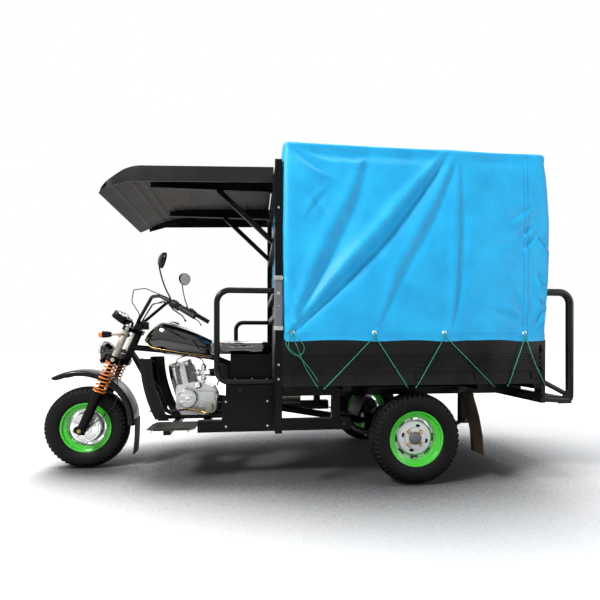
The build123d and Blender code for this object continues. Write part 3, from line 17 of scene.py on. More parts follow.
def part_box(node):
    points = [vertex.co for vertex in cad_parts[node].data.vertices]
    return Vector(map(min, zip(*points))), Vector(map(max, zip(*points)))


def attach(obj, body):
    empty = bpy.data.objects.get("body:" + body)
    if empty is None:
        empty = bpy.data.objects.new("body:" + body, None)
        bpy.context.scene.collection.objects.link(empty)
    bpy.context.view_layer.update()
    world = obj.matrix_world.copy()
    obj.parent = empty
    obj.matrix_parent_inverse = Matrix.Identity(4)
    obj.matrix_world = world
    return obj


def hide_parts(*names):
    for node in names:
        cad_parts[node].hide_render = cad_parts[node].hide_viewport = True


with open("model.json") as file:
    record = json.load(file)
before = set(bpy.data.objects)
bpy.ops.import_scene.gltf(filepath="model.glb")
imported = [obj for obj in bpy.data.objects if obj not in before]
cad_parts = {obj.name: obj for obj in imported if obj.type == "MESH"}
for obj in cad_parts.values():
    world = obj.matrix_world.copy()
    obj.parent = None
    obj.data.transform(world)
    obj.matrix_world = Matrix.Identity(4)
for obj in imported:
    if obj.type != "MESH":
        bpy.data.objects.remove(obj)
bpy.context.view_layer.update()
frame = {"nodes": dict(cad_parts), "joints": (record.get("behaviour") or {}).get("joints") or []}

# %% [markdown]
# ## Where things are
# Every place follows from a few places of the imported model: the wheel axles, and the steering axis. Lengths
# are metres. `at` takes a place as it was measured on the vehicle: how far ahead of the rear axle, how far to
# the rider's left and how high. `on_fork` takes a place along the fork, which leans back by the rake.

# %% Axles and the fork's lean
MM = 0.001


def mm(*numbers):
    """Numbers, one tuple or one list of tuples, written in millimetres and given back in metres."""
    return np.array(numbers[0] if len(numbers) == 1 else numbers, float) * MM


front_low, front_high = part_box("rim_front")
rear_low, rear_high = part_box("rim_rear_left")
front_axle = np.array((front_low + front_high) / 2)
rear_axle = np.array((rear_low + rear_high) / 2)
steering = next(joint for joint in frame["joints"] if joint["child"] == "steering")
fork_up = np.array(steering["axis"], float)
fork_ahead = np.array([fork_up[2], 0.0, -fork_up[0]])


def at(ahead, side, up):
    """A place from the rear axle's line, on the vehicle's middle plane and on the ground, in metres."""
    return np.array([rear_axle[0] + ahead, side, up])


def on_fork(ahead, side, along):
    """front axle + ahead * (across the legs) + along * (up the legs), with side added to Y."""
    return front_axle + fork_ahead * ahead + fork_up * along + np.array([0.0, side, 0.0])


print("front axle", front_axle.round(4), "rear axle", rear_axle.round(4), "fork", fork_up.round(4))

# %% [markdown]
# ## Shapes as arrays
# A shape is a pair: an array of points, and a list of face arrays. A surface is a grid of points, worked out
# as one array, and its faces join each point to its neighbours. Small shapes are copied to many places
# by adding an array of places, so that a row of bolts is one mesh and not a row of objects.


# %% Grid, join and place
def grid(points, wrap_rows=False, wrap_columns=False):
    """Quads between the neighbours of a rows x columns grid of points, joined end to end where it wraps."""
    rows, columns = points.shape[:2]
    r, c = np.meshgrid(np.arange(rows if wrap_rows else rows - 1),
        np.arange(columns if wrap_columns else columns - 1), indexing="ij")
    r_next, c_next = (r + 1) % rows, (c + 1) % columns
    corners = [r * columns + c, r * columns + c_next, r_next * columns + c_next, r_next * columns + c]
    return points.reshape(-1, 3), [np.stack(corners, -1).reshape(-1, 4)]


def join(*shapes):
    """Several shapes as one: the points one after another, and each shape's faces counted on from there."""
    starts = np.cumsum([0] + [len(points) for points, _ in shapes])
    faces = [face + start for (_, group), start in zip(shapes, starts) for face in group]
    return np.concatenate([points for points, _ in shapes]), faces


def facing(out, up=(0.0, 0.0, 1.0)):
    """Rows across, up and out: out as given, across = up x out, and up made square to both."""
    out = np.array(out, float) / np.linalg.norm(out)
    across = np.cross(up, out)
    if np.linalg.norm(across) < 1e-6:
        across = np.cross((0.0, 1.0, 0.0), out)
    across = across / np.linalg.norm(across)
    return np.stack([across, np.cross(out, across), out])


def placed(shape, *origins, out=(0.0, 0.0, 1.0), up=(0.0, 0.0, 1.0)):
    """A copy of the shape at each origin, its own Z turned to out and its own Y towards up."""
    points, faces = shape
    turned = points @ facing(out, up)
    copies = (np.array(origins, float).reshape(-1, 1, 3) + turned).reshape(-1, 3)
    steps = np.arange(len(origins))[:, None, None] * len(points)
    return copies, [(face[None] + steps).reshape(-1, face.shape[1]) for face in faces]


def mirrored(shape):
    """The shape and its mirror image across the vehicle's middle plane, with the copy's faces turned back."""
    points, faces = shape
    return join(shape, (points * (1, -1, 1), [face[:, ::-1] for face in faces]))


# %% Lathe, prism and tube
def rings(points, caps=True, wrap_rows=False):
    """A grid whose rows are closed rings, and one flat face over each end."""
    shape, faces = grid(points, wrap_rows, True)
    if caps and not wrap_rows:
        count = points.shape[1]
        ends = np.arange(count)
        faces = faces + [ends[None, ::-1], (ends + (points.shape[0] - 1) * count)[None]]
    return shape, faces


def lathe(profile, sides=64, loop=False):
    """A profile of (radius, height) turned about Z: x = r cos a, y = r sin a. A loop joins its ends."""
    profile = np.array(profile, float)
    angle = np.linspace(0, 2 * np.pi, sides, endpoint=False)
    radius = np.maximum(profile[:, :1], 0.2 * MM)
    height = np.repeat(profile[:, 1:], sides, 1)
    return rings(np.stack([radius * np.cos(angle), radius * np.sin(angle), height], -1), not loop, loop)


def rounded_box(width, height, corner, steps=5):
    """The outline of a rectangle with round corners: each corner's centre plus a quarter circle."""
    corner = min(corner, width / 2 - 1e-5, height / 2 - 1e-5)
    angle = (np.linspace(0, np.pi / 2, steps) + np.arange(4)[:, None] * np.pi / 2).ravel()
    sign_x, sign_y = np.repeat([1, -1, -1, 1], steps), np.repeat([1, 1, -1, -1], steps)
    return np.stack([sign_x * (width / 2 - corner) + corner * np.cos(angle),
        sign_y * (height / 2 - corner) + corner * np.sin(angle)], -1)


def polygon(sides, radius):
    """The corners of a regular polygon: radius times the cosine and the sine of equal steps of angle."""
    angle = np.arange(sides) * 2 * np.pi / sides
    return radius * np.stack([np.cos(angle), np.sin(angle)], -1)


def prism(outline, levels):
    """An outline carried up through levels of (share of its size, height), with flat ends."""
    levels = np.array(levels, float)
    flat = outline[None] * levels[:, :1, None]
    height = np.repeat(levels[:, 1:], len(outline), 1)
    return rings(np.concatenate([flat, height[..., None]], -1))


def pillow(width, height, depth, corner, edge):
    """A block from z = 0 to z = depth, with round corners and an edge softened by three small steps."""
    rings_in = np.array([[edge, 0.0], [edge * 0.3, edge * 0.3], [0.0, edge], [0.0, depth - edge],
        [edge * 0.3, depth - edge * 0.3], [edge, depth]])
    outlines = [rounded_box(width - 2 * inset, height - 2 * inset, max(corner - inset, edge * 0.2))
                for inset in rings_in[:, 0]]
    level = np.repeat(rings_in[:, 1:], len(outlines[0]), 1)
    return rings(np.concatenate([np.stack(outlines), level[..., None]], -1))


def frames_along(path, loop=False):
    """Tangents, and two directions square to them that turn no more than the path itself does."""
    ahead = np.roll(path, -1, 0) - np.roll(path, 1, 0)
    if not loop:
        ahead[0], ahead[-1] = path[1] - path[0], path[-1] - path[-2]
    ahead = ahead / np.linalg.norm(ahead, axis=1, keepdims=True)
    first = np.cross(ahead[0], (0.0, 1.0, 0.0) if abs(ahead[0][1]) < 0.9 else (0.0, 0.0, 1.0))
    normals = [first / np.linalg.norm(first)]
    for direction in ahead[1:]:
        carried = normals[-1] - direction * np.dot(direction, normals[-1])
        normals.append(carried / np.linalg.norm(carried))
    normals = np.array(normals)
    return ahead, normals, np.cross(ahead, normals)


def tube(path, radius, sides=12, caps=True, flat=1.0):
    """A round section carried along a path: p + r (n cos a + b sin a), with r one value or one a point."""
    path = np.array(path, float)
    _, normal, binormal = frames_along(path)
    angle = np.linspace(0, 2 * np.pi, sides, endpoint=False)[:, None]
    radius = np.broadcast_to(radius, len(path))[:, None, None]
    around = normal[:, None] * np.cos(angle) * flat + binormal[:, None] * np.sin(angle)
    return rings(path[:, None] + radius * around, caps)


def through(points, steps=8):
    """A smooth path through the points: on each span, a cubic whose slopes are those of its neighbours."""
    points = np.array(points, float)
    padded = np.concatenate([2 * points[:1] - points[1:2], points, 2 * points[-1:] - points[-2:-1]])
    t = np.linspace(0, 1, steps, endpoint=False)[None, :, None]
    before, start, end, after = (padded[i:len(points) - 1 + i, None] for i in range(4))
    spans = 0.5 * (2 * start + (end - before) * t + (2 * before - 5 * start + 4 * end - after) * t ** 2
        + (3 * start - 3 * end + after - before) * t ** 3)
    return np.concatenate([spans.reshape(-1, points.shape[1]), points[-1:]])


def bent(points, radius, steps=7):
    """Straight runs with round corners: each inner corner gives way to an arc of a quadratic curve."""
    points = np.array(points, float)
    radii = np.broadcast_to(radius, len(points) - 2)
    t = np.linspace(0, 1, steps)[:, None]
    path = [points[:1]]
    for before, corner, after, reach in zip(points[:-2], points[1:-1], points[2:], radii):
        start = corner + (before - corner) / np.linalg.norm(before - corner) * reach
        end = corner + (after - corner) / np.linalg.norm(after - corner) * reach
        path.append(start * (1 - t) ** 2 + corner * 2 * t * (1 - t) + end * t ** 2)
    return np.concatenate(path + [points[-1:]])


# %% One call that turns a shape into a finished piece
def make(name, shape, finish, body="chassis", replaces=(), closed=True, sharp=38, uv=None):
    """A named mesh with a finish of the table below. It rides on a body, and keeps its sharp edges crisp."""
    points, faces = shape
    mesh = bpy.data.meshes.new(name)
    mesh.from_pydata(points.tolist(), [], [row for face in faces for row in face.tolist()])
    if closed:
        work = bmesh.new()
        work.from_mesh(mesh)
        bmesh.ops.recalc_face_normals(work, faces=work.faces)
        work.to_mesh(mesh)
        work.free()
    if uv is not None:
        layer = mesh.uv_layers.new(name="UVMap")
        corner = np.zeros(len(mesh.loops), int)
        mesh.loops.foreach_get("vertex_index", corner)
        layer.data.foreach_set("uv", uv[corner].astype(np.float32).ravel())
    mesh.shade_smooth()
    mesh.set_sharp_from_angle(angle=np.radians(sharp))
    material, slot = finishes[finish]
    mesh.materials.append(material)
    piece = bpy.data.objects.new(name, mesh)
    bpy.context.scene.collection.objects.link(piece)
    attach(piece, body)
    if replaces:
        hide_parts(*replaces)
    print(name, len(points), "points")
    return piece


# %% [markdown]
# ## Camera and light
# The picture was taken from the rider's left with a wide lens held level, a little under the height of the
# bed's top edge. The lens is raised a little in its mount instead of being tilted, so that uprights stay
# upright. Soft panels light the object as a studio would. The studio's walls are white behind the object
# and dim behind the camera, so that black paint facing the camera stays black. The floor is a pale sweep
# that keeps the object's shadow, deepened by a painted shadow: its colour is darkened by ambient occlusion
# under the vehicle. It gets brighter with distance, so that no horizon shows.

# %% Camera
camera_data = bpy.data.cameras.new("camera")
camera_data.lens = 24.94
camera_data.sensor_width = 36.0
camera_data.shift_y = 0.0654
camera = bpy.data.objects.new("camera", camera_data)
bpy.context.scene.collection.objects.link(camera)
camera.location = (0.2907, 2.9627, 0.8632)
look = Vector((-0.11227, -0.99368, 0.0))
camera.rotation_euler = look.to_track_quat("-Z", "Y").to_euler()
bpy.context.scene.camera = camera
bpy.context.scene.view_settings.view_transform = "Standard"


# %% Colours and the one helper for nodes
def linear(hex_colour):
    """An sRGB hex colour as the linear red, green, blue and alpha that Blender's sockets hold."""
    value = np.array([int(hex_colour[i:i + 2], 16) for i in (1, 3, 5)]) / 255
    value = np.where(value <= 0.04045, value / 12.92, ((value + 0.055) / 1.055) ** 2.4)
    return (*(float(v) for v in value), 1.0)


def add(tree, kind, settings=None, links=None):
    """One node: settings go to its attributes or else to its sockets, and links name socket and source."""
    made = tree.nodes.new("ShaderNode" + kind)
    for name, value in (settings or {}).items():
        if isinstance(name, str) and hasattr(made, name):
            setattr(made, name, value)
        else:
            made.inputs[name].default_value = value
    for name, source in (links or {}).items():
        tree.links.new(source, made.inputs[name])
    return made


# %% World, floor and lamps
world = bpy.data.worlds.new("studio")
bpy.context.scene.world = world
world.use_nodes = True
sky = world.node_tree
sky.nodes.clear()
ray = add(sky, "LightPath")
passing = add(sky, "Math", {"operation": "MAXIMUM"}, {0: ray.outputs["Is Camera Ray"],
    1: ray.outputs["Is Transmission Ray"]})
seen = add(sky, "Math", {"operation": "MAXIMUM"}, {0: passing.outputs[0], 1: ray.outputs["Is Glossy Ray"]})
direction = add(sky, "SeparateXYZ", None, {0: add(sky, "TexCoord").outputs["Generated"]})
wall = add(sky, "MapRange", {"From Min": -0.5, "From Max": 0.7, "To Min": 0.5, "To Max": 0.24},
    {"Value": direction.outputs["Y"]})
surround = add(sky, "Background", {"Color": linear("#ffffff")}, {"Strength": wall.outputs[0]})
backdrop = add(sky, "Background", {"Color": linear("#ffffff"), "Strength": 1.0})
shown = add(sky, "MixShader", None, {0: seen.outputs[0], 1: surround.outputs[0], 2: backdrop.outputs[0]})
add(sky, "OutputWorld", None, {"Surface": shown.outputs[0]})

floor_reach = 30.0
floor_mesh = bpy.data.meshes.new("floor")
floor_mesh.from_pydata([(x * floor_reach, y * floor_reach, 0.0) for x, y in ((-1, -1), (1, -1), (1, 1),
    (-1, 1))], [], [(0, 1, 2, 3)])
floor = bpy.data.objects.new("floor", floor_mesh)
bpy.context.scene.collection.objects.link(floor)
sweep_with_painted_shadow = bpy.data.materials.new("white_sweep_with_painted_shadow")
sweep_with_painted_shadow.use_nodes = True
tree = sweep_with_painted_shadow.node_tree
tree.nodes.clear()
# painted shadow: under the vehicle the sweep gets little light from the sides, and its colour is darkened by
# ambient occlusion to stand for that shade
openness = add(tree, "AmbientOcclusion", {"Distance": 1.7})
openness.samples = 8
painted_shadow_share = add(tree, "MapRange", {"From Min": 0.5, "From Max": 0.97, "interpolation_type": "SMOOTHSTEP"},
    {"Value": openness.outputs["AO"]})
# painted shadow colour: dark grey where the occlusion is strong, near white in the open
paint = add(tree, "Mix", {"data_type": "RGBA", 6: linear("#545457"), 7: linear("#f6f6f6")},
    {0: painted_shadow_share.outputs[0]})
matt = add(tree, "BsdfDiffuse", None, {"Color": paint.outputs[2]})
spot = add(tree, "TexCoord").outputs["Object"]
away = add(tree, "VectorMath", {"operation": "LENGTH"}, {0: spot})
fade = add(tree, "MapRange", {"From Min": 2.6, "From Max": 5.5, "To Min": 0.06, "To Max": 1.0,
    "interpolation_type": "SMOOTHSTEP"}, {"Value": away.outputs["Value"]})
lift = add(tree, "Emission", None, {"Color": paint.outputs[2], "Strength": fade.outputs[0]})
ray = add(tree, "LightPath")
lifted = add(tree, "AddShader", None, {0: matt.outputs[0], 1: lift.outputs[0]})
swept = add(tree, "MixShader", None, {0: ray.outputs["Is Camera Ray"], 1: matt.outputs[0],
    2: lifted.outputs[0]})
add(tree, "OutputMaterial", None, {"Surface": swept.outputs[0]})
floor_mesh.materials.append(sweep_with_painted_shadow)

lamp_table = (
    # name, place, aim, width, power
    ("key_panel", (4.2, 3.4, 5.0), (0.0, 0.0, 0.9), 1.3, 430.0),
    ("fill_panel", (-4.6, 3.4, 1.8), (-0.4, 0.0, 0.9), 2.2, 45.0),
    ("top_panel", (0.0, -0.3, 5.6), (0.0, 0.0, 0.0), 4.5, 270.0),
    ("back_panel", (-1.0, -5.0, 3.6), (0.0, 0.0, 0.9), 3.2, 80.0),
)
for lamp_name, place, aim, width, power in lamp_table:
    lamp_data = bpy.data.lights.new(lamp_name, "AREA")
    lamp_data.shape = "SQUARE"
    lamp_data.size = width
    lamp_data.energy = power
    lamp = bpy.data.objects.new(lamp_name, lamp_data)
    bpy.context.scene.collection.objects.link(lamp)
    lamp.location = place
    lamp.rotation_euler = (Vector(aim) - Vector(place)).to_track_quat("-Z", "Y").to_euler()
print("lamps", len(lamp_table))

# %% [markdown]
# ## Finishes
# Most surfaces here are one of a few families: stove enamel on steel, painted or bare metal castings, moulded
# rubber and plastic. One function makes them all. Real paint isn't one flat colour: it has a slow drift in
# shade and gloss, a fine orange-peel relief, and a veil of dust on what faces up. The drift is a wide noise
# between two close shades, the relief is a fine noise in the bump, and the dust follows the normal's height.


# %% The common finish
def finish(name, slot, shade, worn, rough=0.4, metal=0.0, grain=6.0, relief=0.05, coat=0.0, dust=0.0,
        spread=0.12, drift=0.25, shine=0.5):
    """Colour = shade drifting to worn by noise, plus dust on upward faces; roughness drifts round its middle.

    grain is the size of the relief in millimetres, and drift the size of the slow change in metres.
    """
    material = bpy.data.materials.new(name)
    material.use_nodes = True
    tree = material.node_tree
    tree.nodes.clear()
    place = add(tree, "TexCoord").outputs["Object"]
    slow = add(tree, "TexNoise", {"Scale": 1 / drift, "Detail": 5.0, "Roughness": 0.6}, {"Vector": place})
    fine = add(tree, "TexNoise", {"Scale": 1 / (grain * MM), "Detail": 3.0}, {"Vector": place})
    tint = add(tree, "ValToRGB", None, {"Fac": slow.outputs["Fac"]})
    tint.color_ramp.elements[0].position = 0.35
    tint.color_ramp.elements[1].position = 0.72
    tint.color_ramp.elements[0].color = linear(shade)
    tint.color_ramp.elements[1].color = linear(worn)
    colour = tint.outputs["Color"]
    if dust:
        normal = add(tree, "NewGeometry").outputs["Normal"]
        height = add(tree, "SeparateXYZ", None, {0: normal}).outputs["Z"]
        settled = add(tree, "MapRange", {"From Min": 0.2, "From Max": 1.0, "To Max": dust}, {"Value": height})
        veil = add(tree, "Math", {"operation": "MULTIPLY"}, {0: settled.outputs[0], 1: slow.outputs["Fac"]})
        dusted = add(tree, "Mix", {"data_type": "RGBA", 7: linear("#8d877c")},
            {0: veil.outputs[0], 6: colour})
        colour = dusted.outputs[2]
    gloss = add(tree, "MapRange", {"From Min": 0.3, "From Max": 0.7, "To Min": max(rough - spread, 0.03),
        "To Max": min(rough + spread, 1.0)}, {"Value": slow.outputs["Fac"]})
    bump = add(tree, "Bump", {"Strength": relief, "Distance": grain * MM * 0.3},
        {"Height": fine.outputs["Fac"]})
    shader = add(tree, "BsdfPrincipled", {"Metallic": metal, "Coat Weight": coat, "Coat Roughness": 0.08,
        "Specular IOR Level": shine}, {"Base Color": colour, "Roughness": gloss.outputs[0],
        "Normal": bump.outputs[0]})
    add(tree, "OutputMaterial", None, {"Surface": shader.outputs[0]})
    return material, slot


finish_table = {
    # what it is: slot, two shades, then how it differs from the common finish
    # stove enamel on welded steel, semi-gloss black
    "frame_enamel": ("black_paint", "#040405", "#0a0a0b", dict(rough=0.36, coat=0.03, dust=0.04, shine=0.09)),
    # the same enamel on the pressed bed, a little deeper and glossier
    "bed_enamel": ("bed_paint", "#040406", "#08080a",
        dict(rough=0.26, coat=0.08, dust=0.05, relief=0.03, shine=0.2)),
    # lacquered motorcycle tank
    "tank_lacquer": ("tank_paint", "#040405", "#09090b",
        dict(rough=0.12, coat=0.7, relief=0.01, spread=0.04, shine=0.4)),
    "rim_enamel": ("green_paint", "#2fb41a", "#3cc924", dict(rough=0.26, coat=0.5, relief=0.03)),
    # silver lacquer holds aluminium flake, so it is nearly a metal, and softer than bare steel
    "wheel_silver": ("wheel_silver", "#b9bbbb", "#cfd0ce", dict(rough=0.34, metal=0.75, coat=0.25)),
    "tyre_rubber": ("tyre_rubber", "#09090a", "#121213", dict(rough=0.55, relief=0.2, grain=2.5, dust=0.05,
                                                              shine=0.12)),
    "spring_enamel": ("spring_orange", "#c8560e", "#ee9a35",
        dict(rough=0.24, coat=0.4, relief=0.02, drift=0.03)),
    "fork_silver": ("fork_silver", "#a8a196", "#c2bbae", dict(rough=0.38, metal=0.55, coat=0.2)),
    # sand-cast aluminium keeps the mould's grain under its silver paint
    "cast_aluminium": ("engine_aluminium", "#acaeae", "#d6d7d5", dict(rough=0.34, metal=0.85, relief=0.35,
                                                                      grain=2.0)),
    "polished_cover": ("engine_aluminium", "#dcddde", "#f0f0ef", dict(rough=0.2, metal=0.9, relief=0.03)),
    # painted shade: the barrel between its fins is coloured near black, for the shade deep in the gaps
    # between the silver fins
    "barrel_shade_black": ("engine_aluminium", "#0c0c0d", "#1b1b1c", dict(rough=0.5, metal=0.2, relief=0.2)),
    # the wrap the seat came in: clear film, all highlights, over black vinyl
    "wrapped_vinyl": ("seat_vinyl", "#08080a", "#17171a", dict(rough=0.14, coat=1.0, relief=0.6, grain=9.0,
                                                                shine=0.9, spread=0.06)),
    "chrome_plate": ("chrome", "#d8dadb", "#e6e7e8", dict(rough=0.07, metal=1.0, relief=0.0, spread=0.03)),
    "grip_rubber": ("grip_rubber", "#101010", "#1c1c1c", dict(rough=0.62, relief=0.12, grain=1.5)),
    # injection-moulded black plastic with a leather-like mould grain
    "moulded_plastic": ("black_plastic", "#060607", "#0d0d0f",
        dict(rough=0.34, relief=0.18, grain=1.8, shine=0.14, dust=0.06)),
    "roof_plastic": ("black_plastic", "#050506", "#0b0b0c",
        dict(rough=0.28, relief=0.05, grain=3.0, coat=0.1, shine=0.3)),
    # the roof's inside is left as it came from the mould: a matt brownish black
    "roof_inside": ("black_plastic", "#2f2a26", "#3e3832",
        dict(rough=0.6, relief=0.12, grain=3.0, shine=0.25)),
    "grey_plastic": ("black_plastic", "#54565a", "#65676b", dict(rough=0.45, relief=0.1, grain=1.8)),
    "seat_vinyl": ("seat_vinyl", "#060607", "#101011", dict(rough=0.36, relief=0.3, grain=1.6)),
    "flap_rubber": ("flap_rubber", "#241c16", "#3c3026",
        dict(rough=0.66, relief=0.25, grain=3.0, dust=0.3, shine=0.2)),
    "spring_steel": ("spring_steel", "#131313", "#242321", dict(rough=0.46, metal=0.3, relief=0.2, dust=0.3)),
    "zinc_plate": ("zinc_steel", "#a9a99f", "#c7c6bb", dict(rough=0.3, metal=0.9, relief=0.05, grain=3.0)),
    "brass": ("zinc_steel", "#a8864a", "#c3a266", dict(rough=0.32, metal=0.9, relief=0.05)),
    "tube_enamel": ("tube_steel", "#040405", "#0a0a0b",
        dict(rough=0.22, coat=0.04, relief=0.02, dust=0.04, shine=0.2)),
    "burnt_steel": ("chrome", "#7d7468", "#a59c8e", dict(rough=0.28, metal=0.95, drift=0.12)),
    "gold_stripe": ("tank_paint", "#b08a3e", "#c9a557", dict(rough=0.3, metal=0.6, relief=0.0)),
    "amber_lens": ("lamp_plastic", "#d9650f", "#e87a1b", dict(rough=0.12, coat=0.6, relief=0.0)),
    "red_lens": ("lamp_plastic", "#8c1212", "#b01a18", dict(rough=0.12, coat=0.6, relief=0.0)),
    "dial_white": ("lamp_plastic", "#d5d7d8", "#e2e3e4", dict(rough=0.4, relief=0.0)),
    "nylon_cord": ("tarp_blue", "#1e7d5c", "#3da27c", dict(rough=0.6, relief=0.4, grain=1.5)),
    "fuse_blue": ("black_plastic", "#1c5fb8", "#2a74cf", dict(rough=0.35, relief=0.0)),
}
finishes = {name: finish(name, slot, shade, worn, **more)
            for name, (slot, shade, worn, more) in finish_table.items()}
print("finishes", len(finishes))

# %% [markdown]
# The carried-over pieces keep their own meshes and get a finish by name. Each row lists the pieces that were
# painted in one batch, or come out of one mould.

# %% Finishes of the carried-over pieces
node_finishes = {"grip_rubber": ("control_cables",), "frame_enamel": ("chassis_frame", "front_frame", "fork",
    "rear_axle", "prop_shaft", "headboard", "seat_box", "side_panels", "front_mudguard", "rear_mudguards"),
    "bed_enamel": ("bed_floor", "bed_side_left", "bed_side_right", "bed_front_wall", "tailgate"),
    "tank_lacquer": ("fuel_tank",), "rim_enamel": ("rim_front", "rim_rear_left", "rim_rear_right"),
    "wheel_silver": ("wheel_centre_front", "wheel_centre_rear_left", "wheel_centre_rear_right",
    "front_brake"), "tyre_rubber": ("tyre_front", "tyre_rear_left", "tyre_rear_right"),
    "spring_enamel": ("fork_springs",), "fork_silver": ("fork_covers",),
    "cast_aluminium": ("engine_crankcase", "engine_cylinder"), "chrome_plate": ("headlamp",),
    "burnt_steel": ("exhaust",), "moulded_plastic": ("instrument", "mirrors", "hand_controls", "leg_shields"),
    "roof_plastic": ("cab_roof",), "amber_lens": ("turn_signals",), "red_lens": ("tail_lamps",),
    "seat_vinyl": ("rider_seat",), "flap_rubber": ("front_flap", "mud_flaps"),
    "spring_steel": ("leaf_springs", "footboards"), "zinc_plate": ("foot_controls",),
    "tube_enamel": ("handlebar", "arm_rail_left", "arm_rail_right", "rear_guard", "canopy_frame"),
    "nylon_cord": ("canopy",),}
for finish_name, node_names in node_finishes.items():
    for node_name in node_names:
        node_mesh = frame["nodes"][node_name].data
        node_mesh.materials.clear()
        node_mesh.materials.append(finishes[finish_name][0])
unnamed = set(frame["nodes"]) - {name for names in node_finishes.values() for name in names}
print("nodes without a finish", sorted(unnamed))

# %% [markdown]
# ## The tarpaulin
# The load is covered by one box-shaped cover sewn from coated polyester. It hangs on three steel bows and is
# laced down through eyelets, so it isn't smooth: long folds run from the bows to the eyelets that pull them,
# old creases cross it where it was folded away, and the seam near its rear edge is puckered. A simulated
# cloth would give folds, but not these ones. So the cover is a formula: a box with soft edges, pushed in and
# out by folds that are drawn as short curves, each with a width and a depth.

# %% Even steps along a path
def evenly(path, count, loop=False):
    """The same path with points at equal distances: lengths added up, then read off at even steps."""
    path = np.concatenate([path, path[:1]]) if loop else path
    length = np.concatenate([[0], np.cumsum(np.linalg.norm(np.diff(path, axis=0), axis=1))])
    step = np.linspace(0, length[-1], count, endpoint=not loop)
    return np.stack([np.interp(step, length, path[:, axis]) for axis in range(path.shape[1])], -1)


def press(flat, folds, sharp=1.0):
    """How far folds push a flat cloth out. A fold is a curve through points, with a width and a depth.

    push = depth * along * (0.8 exp(-((d - 1.5 w) / 1.1 w)^2) - exp(-|d / w|^(2 - sharp / 2))): a valley on
    the curve and a softer ridge beside it. d is the distance from the curve, positive on its right, w the
    spread, widest in the middle, and along fades the fold towards both ends and between its end shares.
    """
    push = np.zeros(flat.shape[:-1])
    for curve, width, depth, start_share, end_share in folds:
        line = evenly(through(curve, 6), 40)
        ahead = np.gradient(line, axis=0)
        ahead = ahead / np.linalg.norm(ahead, axis=1, keepdims=True)
        gap = flat[..., None, :] - line
        near = np.argmin((gap ** 2).sum(-1), -1)
        offset = np.take_along_axis(gap, near[..., None, None], -2)[..., 0, :]
        heading = ahead[near]
        side = offset[..., 0] * heading[..., 1] - offset[..., 1] * heading[..., 0]
        past = np.abs((offset * heading).sum(-1))
        share = near / (len(line) - 1)
        along = (start_share + (end_share - start_share) * share) * np.sin(np.pi * (0.12 + 0.76 * share))
        spread = width * (0.55 + 0.9 * np.sin(np.pi * share))
        valley = np.exp(-np.abs(side / spread) ** (2 - 0.5 * sharp))
        ridge = np.exp(-((side - 1.5 * spread) / (1.1 * spread)) ** 2)
        push += depth * along * (0.8 * ridge - valley) * np.exp(-(past / (2 * width)) ** 2)
    return push


def ripple(flat, seed, scale, count=24):
    """Small waves: a sum of sines, each with its own direction, length and phase, from a fixed seed."""
    draw = np.random.default_rng(seed)
    angle, phase = draw.uniform(0, np.pi, count), draw.uniform(0, 2 * np.pi, count)
    length = scale * draw.uniform(0.5, 2.2, count)
    waves = np.stack([np.cos(angle), np.sin(angle)], -1) / length[:, None] * 2 * np.pi
    return (np.sin(flat @ waves.T + phase) * length).sum(-1) / (scale * count)


# %% The cover's own sizes and its folds
cover_low, cover_high = (np.array(corner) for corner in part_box("canopy"))
cover_middle = (cover_low + cover_high) / 2
cover_length, cover_width = (cover_high - cover_low)[:2]
cover_top, cover_hem = cover_high[2], cover_low[2]
cover_drop = cover_top - cover_hem
cover_edge = 0.034
eyelet_ahead = (0.741, 0.271, -0.150, -0.651)
eyelet_height = 0.048
bow_ahead = (0.755, -0.19, -0.745)

